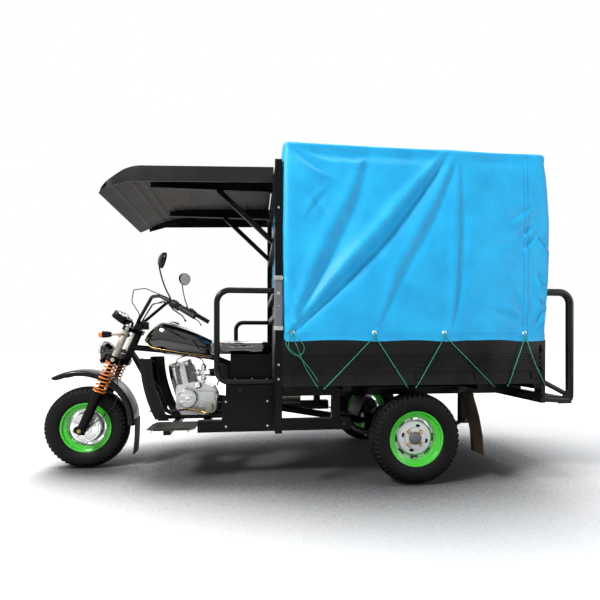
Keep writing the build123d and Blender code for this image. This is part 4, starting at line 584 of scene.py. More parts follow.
side_folds = (
    # curve as shares from the front and from the hem, then width and depth in metres, and the depth's
    # share at its start and end
    (((0.31, 0.97), (0.27, 0.72), (0.17, 0.42), (0.05, 0.09)), 0.034, 0.020, 0.5, 1.0),
    (((0.62, 0.985), (0.46, 0.68), (0.33, 0.46), (0.05, 0.06)), 0.030, 0.030, 0.9, 1.0),
    (((0.64, 0.93), (0.55, 0.62), (0.44, 0.34), (0.36, 0.09)), 0.026, 0.017, 0.8, 0.6),
    (((0.66, 0.95), (0.665, 0.62), (0.655, 0.3), (0.63, 0.07)), 0.020, 0.016, 0.6, 0.9),
    (((0.015, 0.985), (0.09, 0.9), (0.18, 0.83)), 0.018, 0.016, 1.0, 0.5),
    (((0.03, 0.99), (0.14, 0.935), (0.20, 0.905)), 0.014, 0.014, 0.9, 0.6),
    (((0.07, 0.76), (0.12, 0.70), (0.16, 0.61)), 0.012, 0.008, 0.7, 0.7),
    (((0.16, 0.76), (0.11, 0.67), (0.08, 0.60)), 0.012, 0.007, 0.7, 0.7),
    (((0.20, 0.93), (0.27, 0.93), (0.31, 0.95)), 0.016, 0.012, 1.0, 0.6),
    (((0.83, 0.62), (0.88, 0.66), (0.945, 0.72)), 0.013, 0.010, 0.5, 1.0),
    (((0.88, 0.53), (0.91, 0.57), (0.95, 0.62)), 0.010, 0.012, 0.5, 1.0),
    (((0.90, 0.47), (0.92, 0.51), (0.95, 0.56)), 0.009, 0.010, 0.5, 1.0),
    (((0.77, 0.50), (0.87, 0.51), (0.95, 0.49)), 0.008, 0.007, 0.6, 0.8),
    (((0.93, 0.06), (0.86, 0.12), (0.77, 0.17)), 0.016, 0.010, 1.0, 0.5),
    (((0.93, 0.07), (0.90, 0.17), (0.87, 0.27)), 0.014, 0.008, 1.0, 0.6),
    (((0.935, 0.08), (0.94, 0.2), (0.93, 0.34)), 0.012, 0.008, 1.0, 0.5),
    (((0.94, 0.06), (0.965, 0.12), (0.995, 0.18)), 0.010, 0.010, 1.0, 0.8),
    (((0.96, 0.55), (0.985, 0.52), (1.01, 0.46)), 0.012, 0.018, 0.8, 1.0),
    (((0.96, 0.36), (0.98, 0.31), (1.01, 0.27)), 0.011, 0.016, 0.8, 1.0),
    (((0.965, 0.22), (0.985, 0.2), (1.01, 0.21)), 0.010, 0.014, 0.8, 1.0),
    (((0.0, 0.33), (0.03, 0.31), (0.06, 0.27)), 0.010, 0.008, 1.0, 0.5),
    (((0.05, 0.045), (0.03, 0.1), (0.0, 0.2)), 0.014, 0.010, 1.0, 0.7),
)
crease_lines = (
    # old folding creases: from and to as shares from the front and from the hem
    ((0.50, 0.493), (0.93, 0.472)),
    ((0.0, 0.505), (0.3, 0.498)),
    ((0.665, 0.98), (0.665, 0.1)),
)
rear_folds = ((((0.02, 0.95), (0.2, 0.75), (0.42, 0.62)), 0.030, 0.020, 0.8, 0.7),
    (((0.98, 0.93), (0.8, 0.7), (0.6, 0.55)), 0.030, 0.020, 0.8, 0.7),
    (((0.50, 0.97), (0.48, 0.6), (0.50, 0.2)), 0.022, 0.014, 0.6, 0.9),
    (((0.05, 0.10), (0.22, 0.3), (0.33, 0.52)), 0.026, 0.018, 0.9, 0.6),
    (((0.95, 0.10), (0.76, 0.28), (0.66, 0.5)), 0.026, 0.018, 0.9, 0.6),
    (((0.02, 0.5), (0.12, 0.46), (0.22, 0.36)), 0.014, 0.014, 1.0, 0.6),
    (((0.98, 0.46), (0.9, 0.4), (0.8, 0.34)), 0.014, 0.014, 1.0, 0.6),
    (((0.3, 0.04), (0.36, 0.16), (0.44, 0.24)), 0.016, 0.012, 1.0, 0.5),
    (((0.7, 0.04), (0.66, 0.16), (0.56, 0.24)), 0.016, 0.012, 1.0, 0.5),)
front_folds = ((((0.02, 0.97), (0.3, 0.7), (0.45, 0.5)), 0.030, 0.016, 0.9, 0.5),
    (((0.98, 0.97), (0.72, 0.72), (0.55, 0.5)), 0.030, 0.016, 0.9, 0.5),
    (((0.06, 0.05), (0.25, 0.25), (0.4, 0.32)), 0.020, 0.012, 1.0, 0.5),
    (((0.94, 0.05), (0.75, 0.24), (0.6, 0.3)), 0.020, 0.012, 1.0, 0.5),)
print("folds", len(side_folds) + len(rear_folds) + len(front_folds))


# %% The cover as a surface
def cover_points(columns=408, top_rows=22, edge_rows=6, side_rows=78):
    """Columns run round the plan's rounded rectangle, rows from the middle of the top over the edge and down.

    On the top a row is the plan outline at a share of its size. Over the edge it follows a quarter circle.
    On the sides z falls evenly to the hem. Then every point moves along its outward direction by the folds.
    """
    plan = evenly(rounded_box(cover_length, cover_width, cover_edge, 7), columns, True)
    ahead = np.roll(plan, -1, 0) - np.roll(plan, 1, 0)
    outward = np.stack([ahead[:, 1], -ahead[:, 0]], -1)
    outward = outward / np.linalg.norm(outward, axis=1, keepdims=True)
    inner = plan - outward * cover_edge
    share = np.linspace(0.002, 1, top_rows)[:, None, None] ** 0.8
    top = np.concatenate([inner * share, np.zeros((top_rows, columns, 1))], -1)
    turn = np.linspace(0, np.pi / 2, edge_rows + 1)[1:, None, None]
    edge = np.concatenate([inner + outward * cover_edge * np.sin(turn),
        np.broadcast_to(-cover_edge * (1 - np.cos(turn)), (edge_rows, columns, 1))], -1)
    fall = np.linspace(cover_edge, cover_drop, side_rows + 1)[1:, None, None]
    side = np.concatenate([np.broadcast_to(plan, (side_rows, columns, 2)),
        np.broadcast_to(-fall, (side_rows, columns, 1))], -1)
    points = np.concatenate([top, edge, side])
    distance = np.concatenate([[0], np.cumsum(np.linalg.norm(np.diff(points, axis=0), axis=2).mean(1))])
    round_trip = np.arange(columns) / columns * 2 * (cover_length + cover_width)
    uv = np.stack(np.broadcast_arrays(round_trip[None], distance[:, None]), -1)

    x, y, z = np.moveaxis(points, -1, 0)
    height = 1 + z / cover_drop
    from_front = 0.5 - x / cover_length
    down = np.clip(-z / (4 * cover_edge), 0, 1)
    loose = down * (0.35 + 0.65 * np.clip(height / 0.12, 0, 1))
    push = np.zeros_like(x)
    for side_sign in (1, -1):
        flat = np.stack([from_front * cover_length, height * cover_drop], -1)
        size = np.array([cover_length, cover_drop])
        table = [(np.array(curve) * size, *rest) for curve, *rest in side_folds]
        on_side = np.clip(side_sign * np.broadcast_to(outward[:, 1], x.shape), 0, 1) ** 2
        belly = 0.014 * np.sin(np.pi * np.clip(height, 0, 1)) - 0.006
        crease = sum(0.0022 * np.exp(-np.abs(cross_distance(flat, np.array(line) * size)) / 0.004)
            for line in crease_lines)
        waves = 0.006 * ripple(flat, 5 + side_sign, 0.34) + 0.0016 * ripple(flat, 11 + side_sign, 0.07)
        if side_sign < 0:
            flat = flat + 0.05 * np.stack([np.sin(flat[..., 1] * 5), np.cos(flat[..., 0] * 4)], -1)
        push += on_side * loose * (1.5 * press(flat, table) + belly + waves + crease)
    across = 0.5 + y / cover_width
    for end_sign, folds in ((1, front_folds), (-1, rear_folds)):
        flat = np.stack([across * cover_width, height * cover_drop], -1)
        size = np.array([cover_width, cover_drop])
        table = [(np.array(curve) * size, *rest) for curve, *rest in folds]
        on_end = np.clip(end_sign * np.broadcast_to(outward[:, 0], x.shape), 0, 1) ** 2
        swell = (0.004 if end_sign > 0 else 0.030) * np.sin(np.pi * np.clip(height * 1.15 - 0.1, 0, 1))
        waves = 0.006 * ripple(flat, 21 + end_sign, 0.3) + 0.002 * ripple(flat, 31 + end_sign, 0.07)
        push += on_end * loose * (press(flat, table) * (1 if end_sign < 0 else 0.5) + swell + waves)
    bows = rear_axle[0] + np.array(bow_ahead) - cover_middle[0]
    span = np.abs(x[..., None] - bows).min(-1)
    on_top = np.concatenate([np.ones(top_rows), np.linspace(1, 0, edge_rows), np.zeros(side_rows)])[:, None]
    sag = 0.009 * (1 - np.exp(-(span / 0.12) ** 2)) * np.cos(np.clip(y / cover_width, -0.5, 0.5) * 2.6)
    flat_top = np.stack([x, y], -1)
    drop = on_top * (sag + 0.0008 + 0.002 * ripple(flat_top, 41, 0.3) * np.clip(span / 0.1, 0, 1))
    shoulder = np.exp(-((height - 0.95) / 0.035) ** 2) * np.clip(span / 0.25, 0, 1)
    push = push - 0.022 * shoulder * np.abs(np.broadcast_to(outward[:, 1], x.shape))
    hem_pull = sum(np.exp(-((x - (rear_axle[0] + place - cover_middle[0])) / 0.11) ** 2)
        for place in eyelet_ahead)
    near_hem = np.clip(1 - height / 0.1, 0, 1)
    hem_rise = near_hem * (0.007 - 0.009 * np.clip(hem_pull, 0, 1))
    hem_rise = hem_rise + near_hem * 0.004 * ripple(flat_top, 51, 0.2)
    push = push + near_hem * (0.004 * ripple(flat_top, 61, 0.09) - 0.002)
    points[..., :2] += outward * push[..., None]
    points[..., 2] += cover_top - drop + np.where(height < 0.1, hem_rise, 0)
    points[..., :2] += cover_middle[:2]
    return points, uv


def cross_distance(flat, line):
    """Distance to a straight line between two points, growing fast past its ends."""
    start, end = line
    along = (end - start) / np.linalg.norm(end - start)
    offset = flat - start
    length = offset @ along
    past = np.clip(np.maximum(-length, length - np.linalg.norm(end - start)), 0, None)
    return np.abs(offset[..., 0] * along[1] - offset[..., 1] * along[0]) + past


cover_grid, cover_uv = cover_points()
cover_shape = grid(cover_grid, wrap_columns=True)
pole = np.arange(cover_grid.shape[1])[None]
cover_shape = (cover_shape[0], [face[:, ::-1] for face in cover_shape[1]] + [pole])
print("cover grid", cover_grid.shape)

# %% [markdown]
# The cloth is polyester coated on both sides with soft PVC: a bright even blue with a satin gloss, in which
# the threads show as a fine grid. The threads run with the cloth, so the pattern reads its UV map, laid out
# in metres. Real threads are about a millimetre apart. They are drawn three times as coarse, so that they
# show at all, and the coating's mottle and a fine speckle are noises over them.


# %% Tarpaulin material
def tarpaulin():
    """Coated polyester: crossed sine waves for the threads, noise for the mottle, a little sheen."""
    material = bpy.data.materials.new("coated_polyester_tarpaulin")
    material.use_nodes = True
    tree = material.node_tree
    tree.nodes.clear()
    cloth = add(tree, "TexCoord").outputs["UV"]
    turned = add(tree, "Mapping", {"Rotation": (0.0, 0.0, 1.5708)}, {"Vector": cloth})
    thread = {"wave_type": "BANDS", "bands_direction": "X", "Scale": 52.0, "Distortion": 1.2, "Detail": 1.0,
        "Detail Scale": 3.0}
    warp = add(tree, "TexWave", thread, {"Vector": cloth})
    weft = add(tree, "TexWave", thread, {"Vector": turned.outputs[0]})
    weave = add(tree, "Math", {"operation": "MULTIPLY"}, {0: warp.outputs["Fac"], 1: weft.outputs["Fac"]})
    place = add(tree, "TexCoord").outputs["Object"]
    mottle = add(tree, "TexNoise", {"Scale": 6.0, "Detail": 8.0, "Roughness": 0.65}, {"Vector": place})
    speck = add(tree, "TexNoise", {"Scale": 130.0, "Detail": 2.0}, {"Vector": place})
    shade = add(tree, "ValToRGB", None, {"Fac": mottle.outputs["Fac"]})
    shade.color_ramp.elements[0].position = 0.3
    shade.color_ramp.elements[1].position = 0.75
    shade.color_ramp.elements[0].color = linear("#0a8dca")
    shade.color_ramp.elements[1].color = linear("#16aee6")
    speckled = add(tree, "Math", {"operation": "MULTIPLY_ADD", 1: 0.22, 2: 0.0}, {0: speck.outputs["Fac"]})
    woven = add(tree, "Math", {"operation": "MULTIPLY_ADD", 1: 0.16},
        {0: weave.outputs[0], 2: speckled.outputs[0]})
    tint = add(tree, "Mix", {"data_type": "RGBA", 7: linear("#3fc0ea")},
        {0: woven.outputs[0], 6: shade.outputs["Color"]})
    gloss = add(tree, "MapRange", {"To Min": 0.36, "To Max": 0.56}, {"Value": mottle.outputs["Fac"]})
    relief = add(tree, "Bump", {"Strength": 0.25, "Distance": 0.0008}, {"Height": weave.outputs[0]})
    shader = add(tree, "BsdfPrincipled", {"Specular IOR Level": 0.3, "Sheen Weight": 0.04,
        "Sheen Roughness": 0.4, "Sheen Tint": linear("#9adcff")}, {"Base Color": tint.outputs[2],
        "Roughness": gloss.outputs[0], "Normal": relief.outputs[0]})
    add(tree, "OutputMaterial", None, {"Surface": shader.outputs[0]})
    return material, "tarp_blue"


finishes["tarpaulin"] = tarpaulin()
cover = make("tarpaulin_cover", cover_shape, "tarpaulin", replaces=("canopy",), closed=False, sharp=80,
    uv=cover_uv.reshape(-1, 2))
wall = cover.modifiers.new("coated cloth", "SOLIDIFY")
wall.thickness = 1.2 * MM
wall.offset = -1

# %% [markdown]
# A hem band is folded over and stitched round the foot, and a double row of stitches joins the side to the
# rear panel. Stitches and eyelets are laid on the finished surface: each is placed at a point of the grid,
# pushed out along that place's own direction.


# %% Places on the cover
def on_cover(ahead, above_hem, side=1, proud=0.0):
    """The grid's point nearest to a place on the left (1) or right (-1) side, moved out by proud."""
    target = np.array([rear_axle[0] + ahead, side * cover_high[1], cover_hem + above_hem])
    gap = (cover_grid - target) * (1.0, 0.4, 1.0)
    row, column = np.unravel_index(np.argmin((gap ** 2).sum(-1)), cover_grid.shape[:2])
    row = min(max(row, 1), cover_grid.shape[0] - 2)
    rows, columns = cover_grid.shape[:2]
    down = cover_grid[row + 1, column] - cover_grid[row - 1, column]
    along = cover_grid[row, (column + 1) % columns] - cover_grid[row, (column - 1) % columns]
    out = np.cross(along, down)
    out = out / np.linalg.norm(out) * np.sign(out[1] * side)
    spot = cover_grid[row, column] + (target - cover_grid[row, column]) * (1.0, 0.0, 1.0)
    return spot + out * proud, out


eyelet_ring = lathe(mm([(5, 0), (5.5, 2.4), (8, 3), (11.5, 2), (13, 0)]), 28, True)
# painted shade: a thin black disc in each eyelet's hole stands for the dark seen through it
eyelet_shade_disc = lathe(mm([(5.6, 0.1), (5.6, 0.9)]), 20)
eyelet_rings, eyelet_shade_discs, eyelet_places = [], [], []
for side in (1, -1):
    for ahead in eyelet_ahead:
        spot, out = on_cover(ahead, eyelet_height, side)
        eyelet_places.append(spot)
        eyelet_rings.append(placed(eyelet_ring, spot, out=out))
        eyelet_shade_discs.append(placed(eyelet_shade_disc, spot, out=out))
finishes["white_zinc"] = finish("white_eyelet_zinc", "zinc_steel", "#d9dcdc", "#eceeee",
    rough=0.35, metal=0.3)
eyelet_metal = make("eyelet_rings", join(*eyelet_rings), "white_zinc")
eyelet_painted_shade = make("eyelet_shade_discs", join(*eyelet_shade_discs), "grip_rubber")

# %% [markdown]
# The cover's foot is folded to a hem, and a lapped seam joins the side to the rear panel. Both are strips of
# the cover's own grid, moved out by the thickness of the cloth. Stitches are short rods laid along rows of
# places on the surface, each turned along its row.


# %% Hem, seam and stitches
def outward_of(points):
    """Each grid point's own direction out: the cross product of the steps along its column and its row."""
    along = np.roll(points, -1, 1) - np.roll(points, 1, 1)
    down = np.gradient(points, axis=0)
    out = np.cross(along, down)
    out = out / np.maximum(np.linalg.norm(out, axis=-1, keepdims=True), 1e-9)
    away = points - cover_middle
    return out * np.sign((out * away).sum(-1, keepdims=True))


cover_out = outward_of(cover_grid)
hem_rows = slice(cover_grid.shape[0] - 4, cover_grid.shape[0])
hem_points, hem_out = cover_grid[hem_rows], cover_out[hem_rows]
hem_band = np.concatenate([hem_points[:1] + hem_out[:1] * 0.2 * MM, hem_points + hem_out * 2.2 * MM,
    hem_points[-1:] - hem_out[-1:] * 2.4 * MM])
make("hem_band", grid(hem_band, wrap_columns=True), "tarpaulin", closed=False, sharp=80,
    uv=cover_uv[hem_rows][[0, 0, 1, 2, 3, 3]].reshape(-1, 2))

first_row = 30
seam_places = []
seam_shapes = []
for side in (1, -1):
    target = rear_axle[0] - 0.652
    on_this_side = np.where(cover_grid[first_row, :, 1] * side > 0.5, 0, 1e3)
    column = int(np.argmin(np.abs(cover_grid[first_row, :, 0] - target) + on_this_side))
    columns = np.arange(column - 1, column + 2)
    seam = cover_grid[first_row - 6:, columns]
    seam_out = cover_out[first_row - 6:, columns]
    lap = np.concatenate([(seam + seam_out * 0.1 * MM)[:, :1], seam + seam_out * 1.8 * MM,
        (seam + seam_out * 0.1 * MM)[:, -1:]], 1)
    seam_shapes.append(grid(lap))
    for share in (0.12, 0.88):
        row_line = seam[:, 0] * (1 - share) + seam[:, 2] * share
        seam_places.append((row_line + seam_out[:, 1] * 2.4 * MM, seam_out[:, 1]))
make("rear_seam", join(*seam_shapes), "tarpaulin", closed=False, sharp=80,
    uv=np.concatenate([shape[0][:, [0, 2]] for shape in seam_shapes]))


def stitched(path, out, pitch=11 * MM, length=7.5 * MM, thick=1.3 * MM):
    """Short rods at even steps along a path: each runs along the path and stands half out of the cloth."""
    steps = np.concatenate([[0], np.cumsum(np.linalg.norm(np.diff(path, axis=0), axis=1))])
    places = np.arange(pitch / 2, steps[-1], pitch)
    spots = np.stack([np.interp(places, steps, path[:, axis]) for axis in range(3)], -1)
    outs = np.stack([np.interp(places, steps, out[:, axis]) for axis in range(3)], -1)
    ahead = np.gradient(spots, axis=0)
    ahead = ahead / np.linalg.norm(ahead, axis=1, keepdims=True)
    across = np.cross(ahead, outs)
    corner = np.array([[-1, -1, -0.4], [-1, 1, -0.4], [1, 1, -0.4], [1, -1, -0.4], [-0.7, -0.6, 1],
        [-0.7, 0.6, 1], [0.7, 0.6, 1], [0.7, -0.6, 1]])
    rods = (spots[:, None] + ahead[:, None] * corner[:, :1] * length / 2 + across[:, None] * corner[:,
        1:2] * thick / 2 + outs[:, None] * corner[:, 2:] * thick / 2)
    box = np.array([[0, 1, 2, 3], [7, 6, 5, 4], [0, 4, 5, 1], [1, 5, 6, 2], [2, 6, 7, 3], [3, 7, 4, 0]])
    faces = (np.arange(len(spots))[:, None, None] * 8 + box).reshape(-1, 4)
    return rods.reshape(-1, 3), [faces]


stitch_rows = [(path, out) for path, out in seam_places]
for row in (0, 1):
    line = cover_grid[cover_grid.shape[0] - 4 + row] + cover_out[cover_grid.shape[0] - 4 + row] * 2.4 * MM
    stitch_rows.append((np.concatenate([line, line[:1]]), np.concatenate([hem_out[row], hem_out[row][:1]])))
finishes["polyester_thread"] = finish("polyester_thread", "tarp_blue", "#0c6ea6", "#127cb8", rough=0.6)
stitches = make("stitches", join(*(stitched(path, out) for path, out in stitch_rows)), "polyester_thread")

# %% [markdown]
# ## The lashing cord
# A green cord is laced from the eyelets down to hooks under the bed's side rail, drawn tight. It is three
# strands twisted together: each strand circles the cord's line once every 16 mm.


# %% Cord
def twisted(line, radius, pitch, strands=3, sides=5):
    """Strands round a line: line + r (n cos a + b sin a), with a growing by a full turn each pitch."""
    line = np.array(line, float)
    length = np.linalg.norm(np.diff(line, axis=0), axis=1).sum()
    line = evenly(line, max(int(length / (3.2 * MM)), 8))
    _, normal, binormal = frames_along(line)
    turn = np.linspace(0, length / pitch * 2 * np.pi, len(line))
    shapes = []
    for strand in range(strands):
        angle = (turn + strand * 2 * np.pi / strands)[:, None]
        shapes.append(tube(line + radius * 0.52 * (normal * np.cos(angle) + binormal * np.sin(angle)),
            radius * 0.56, sides))
    return join(*shapes)


hook_ahead = (0.60, 0.554, 0.078, 0.018, -0.45, -0.548, -0.79)
rail_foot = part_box("bed_side_left")[0][2]
rail_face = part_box("bed_side_left")[1][1]
hook_rod = mm((0.0, -14, 6), (0.0, 1, 6), (0.0, 7, 1), (0.0, 9, -7), (0.0, 5, -13), (0.0, -2, -14))
hooks = []
for side in (1, -1):
    for ahead in hook_ahead[:-1]:
        place = np.array([rear_axle[0] + ahead, rail_face, rail_foot]) * (1, side, 1)
        hooks.append(tube(through(hook_rod * (1, side, 1), 4) + place, 2.6 * MM, 8))
make("lashing_hooks", join(*hooks), "tube_enamel")

eyelets = [place for place in eyelet_places if place[1] > 0]
face = rail_face + 9 * MM


def foot(ahead, sink=6 * MM):
    """Where the cord passes under a hook."""
    return np.array([rear_axle[0] + ahead, rail_face + 6 * MM, rail_foot - sink])


def lace(start, end, loose=0.0):
    """A straight run from an eyelet, out over the hem, to a foot, with a share of sag."""
    over_hem = start * (1, 0, 1) + np.array([0, max(start[1], rail_face) + 8 * MM, -0.018])
    middle = (over_hem + end) / 2 + np.array([0, 2 * MM, -loose])
    return through([start - np.array([0, 3 * MM, 0]), start + mm(0, 6, 2), over_hem,
        (over_hem * 2 + middle) / 3, middle, end, end - mm(0, 10, -3)], 6)


runs = []
for side in (1, -1):
    flip = np.array([1, side, 1])
    for eyelet, ahead, loose in ((1, 0.554, 0.0), (1, 0.078, 0.0), (2, 0.018, 0.0), (2, -0.45, 0.0),
            (3, -0.548, 0.0), (3, -0.78, 0.02), (0, 0.60, 0.03)):
        runs.append(twisted(lace(eyelets[eyelet], foot(ahead), loose) * flip, 2.5 * MM, 16 * MM))
loop_middle = eyelets[0] + np.array([0, 16 * MM, 0])
loops = [
    # loose turns that hang from the foremost eyelet: offsets ahead, out and up in metres
    ((0, -0.016, 0), (0.012, 0.004, 0.008), (0.035, 0.006, -0.012), (0.04, 0.006, -0.06),
     (0.02, 0.008, -0.10), (-0.012, 0.008, -0.125), (-0.05, 0.008, -0.12), (-0.062, 0.008, -0.08),
     (-0.035, 0.010, -0.04), (-0.004, 0.010, -0.028), (0.022, 0.010, -0.045), (0.024, 0.011, -0.085),
     (-0.004, 0.012, -0.112), (-0.05, 0.012, -0.15), (-0.10, 0.010, -0.21), (-0.14, 0.006, -0.27)),
]
for side in (1, -1):
    flip = np.array([1, side, 1])
    for loop in loops:
        runs.append(twisted(through((np.array(loop) + loop_middle) * flip, 6), 2.2 * MM, 16 * MM))
make("lashing_cord", join(*runs), "nylon_cord", sharp=80)

# %% [markdown]
# ## Tyres
# The tyres are narrow, tall cross-plies with a ribbed middle and blocks cut into the shoulders, which show
# as teeth along the edge. The tread is part of the surface, not a bump: the section is carried round the
# axle, and each point sinks by the depth of the groove it lies in. Grooves are smooth steps of two waves, one
# along the tread and one across it, so one formula gives every block.

# %% A tyre's section and its grooves
tyre_low, tyre_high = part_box("tyre_front")
tyre_radius = (tyre_high[2] - tyre_low[2]) / 2
tyre_half_width = (tyre_high[1] - tyre_low[1]) / 2
rim_radius = (front_high[2] - front_low[2]) / 2
rim_half_width = (front_high[1] - front_low[1]) / 2
bead_radius, bead_half_width = rim_radius - 12 * MM, 32 * MM
shoulder_radius, shoulder_half_width = tyre_radius - 14.5 * MM, tyre_half_width - 9 * MM


def arc3(start, middle, end, count):
    """Points on the circle through three points, at even angles from the first to the last."""
    (ax, ay), (bx, by), (cx, cy) = start, middle, end
    d = 2 * (ax * (by - cy) + bx * (cy - ay) + cx * (ay - by))
    squares = np.array([ax * ax + ay * ay, bx * bx + by * by, cx * cx + cy * cy])
    ux = squares @ np.array([by - cy, cy - ay, ay - by]) / d
    uy = squares @ np.array([cx - bx, ax - cx, bx - ax]) / d
    angles = np.unwrap([np.arctan2(y - uy, x - ux) for x, y in (start, middle, end)])
    angle = np.linspace(angles[0], angles[2], count)
    radius = np.hypot(ax - ux, ay - uy)
    return np.stack([ux + radius * np.cos(angle), uy + radius * np.sin(angle)], -1)


def step(value, edge, soft):
    """A smooth step from 0 to 1 as value passes edge, over a width of soft."""
    t = np.clip((value - edge) / soft + 0.5, 0, 1)
    return t * t * (3 - 2 * t)


def tyre_shape(pitches=52, samples=8):
    """Section (radius, y) turned about the axle, sunk by lug grooves, with ribs on the side walls."""
    wall_middle = ((bead_radius + shoulder_radius) / 2, tyre_half_width)
    wall = arc3((bead_radius, bead_half_width), wall_middle, (shoulder_radius, shoulder_half_width), 20)
    crown = arc3((shoulder_radius, shoulder_half_width), (tyre_radius, 0),
        (shoulder_radius, -shoulder_half_width), 45)
    section = np.concatenate([wall, crown[1:-1], wall[::-1] * (1, -1)])
    section = np.concatenate([section, section[-1:] * (0.985, 0.6), section[:1] * (0.985, 0.6)])
    along = np.roll(section, -1, 0) - np.roll(section, 1, 0)
    outward = np.stack([-along[:, 1], along[:, 0]], -1)
    outward = outward / np.linalg.norm(outward, axis=1, keepdims=True)
    radius, y = section[:, :1], section[:, 1:]
    phase = np.linspace(0, pitches, pitches * samples, endpoint=False)[None]
    zigzag = np.abs(((phase + 0.25 * np.sign(y)) % 1) - 0.5) * 2
    across = np.abs(y)
    lug_wave = np.abs((phase + np.sign(y) * 0.25 - across * 4.0) % 1 - 0.5) * 2
    shoulder = step(across, 30 * MM, 5 * MM) * step(radius, shoulder_radius - 16 * MM, 10 * MM)
    lug_groove = shoulder * step(lug_wave, 0.66, 0.2) * 8.5 * MM
    rib_line = across - (15 + 4 * zigzag) * MM
    middle_line = across - (31 - 3 * zigzag) * MM
    rib_groove = (np.exp(-(rib_line / (2.2 * MM)) ** 2) + np.exp(-(middle_line / (2.4 * MM)) ** 2)) * 6.5 * MM
    rib_groove = rib_groove * step(radius, shoulder_radius - 2 * MM, 4 * MM)
    sipe = np.exp(-((np.abs((phase * 2) % 1 - 0.5)) / 0.12) ** 2) * step(0.5 * across, 0, 6 * MM)
    sipe = sipe * (1 - step(across, 26 * MM, 4 * MM)) * 2.2 * MM
    # raised rings on the side wall: how far out each is, and its height
    wall_rings = ((rim_radius + 7 * MM, 2.6 * MM), (rim_radius + 15 * MM, 1.2 * MM),
        (shoulder_radius - 24 * MM, 1.8 * MM), (shoulder_radius - 19 * MM, 1.2 * MM))
    bead_rib = sum(np.exp(-((radius - level) / (1.6 * MM)) ** 2) * height for level, height in wall_rings)
    band = step(radius, rim_radius + 24 * MM, 3 * MM) * (1 - step(radius, shoulder_radius - 34 * MM, 3 * MM))
    ticks = band * step(np.abs((phase * 1.5) % 1 - 0.5), 0.36, 0.1) * 0.6 * MM
    sink = np.maximum(lug_groove, rib_groove) + sipe - bead_rib - ticks
    sink = np.where(np.arange(len(section))[:, None] >= len(section) - 2, 0, sink)
    moved_radius = radius - outward[:, :1] * sink
    moved_y = y - outward[:, 1:] * sink
    angle = phase / pitches * 2 * np.pi
    points = np.stack([moved_radius * np.sin(angle), np.broadcast_to(moved_y, moved_radius.shape),
        moved_radius * np.cos(angle)], -1)
    return rings(points, False, True)


tyre_mesh = tyre_shape()
wheels = (
    # node suffix, body, centre, side the outer face looks to
    ("front", "front_wheel", front_axle, -1),
    ("rear_left", "rear_wheel_left", rear_axle, 1),
    ("rear_right", "rear_wheel_right", rear_axle * (1, -1, 1), -1),
)
for suffix, body, centre, out in wheels:
    shape = (tyre_mesh[0] * (1, out, 1) + centre, tyre_mesh[1])
    make(f"lugged_tyre_{suffix}", shape, "tyre_rubber", body, (f"tyre_{suffix}",), sharp=50)

# %% [markdown]
# ## Rims and wheel centres
# The rim is rolled from strip, so its lips are round and its well has soft bends, and then dipped in bright
# green enamel. The disc pressed into it is silver. Its nuts, grease cap and valve are small pieces of their
# own. The rim's section is turned about the axle like the tyre's.


# %% Rims
def rim_shape(sides=144):
    """A strip's outline, from lip to lip over the well and back, rounded and turned about the axle."""
    lip, half, seat = rim_radius, rim_half_width, rim_radius - 12.6 * MM
    well, well_half, wall = rim_radius - 37 * MM, 24 * MM, 3.2 * MM
    upper = [(lip - 2 * MM, half), (lip, half - 2 * MM), (lip - 1 * MM, half - 5.5 * MM),
        (seat + 4 * MM, half - 7 * MM), (seat, half - 11 * MM), (seat - 0.5 * MM, well_half + 9 * MM),
        (well + 3 * MM, well_half + 1 * MM), (well, well_half - 4 * MM)]
    lower = [(well - wall, well_half - 3 * MM), (well + 1 * MM - wall, well_half + 4 * MM),
        (seat - wall, well_half + 13 * MM), (seat + 1 * MM - wall, half - 8 * MM),
        (seat + 5 * MM - wall, half - 3 * MM), (lip - 4 * MM, half - 1 * MM)]
    ring = upper + [(r, -y) for r, y in upper[::-1]] + [(r, -y) for r, y in lower[::-1]] + lower
    ring = np.array([(r, y) for r, y in ring])
    angle = np.linspace(0, 2 * np.pi, sides, endpoint=False)
    smooth = evenly(through(np.concatenate([ring, ring[:1]]), 4), 84, False)[:-1]
    points = np.stack([smooth[:, :1] * np.sin(angle), np.repeat(smooth[:, 1:], sides, 1),
        smooth[:, :1] * np.cos(angle)], -1)
    return rings(points, False, True)


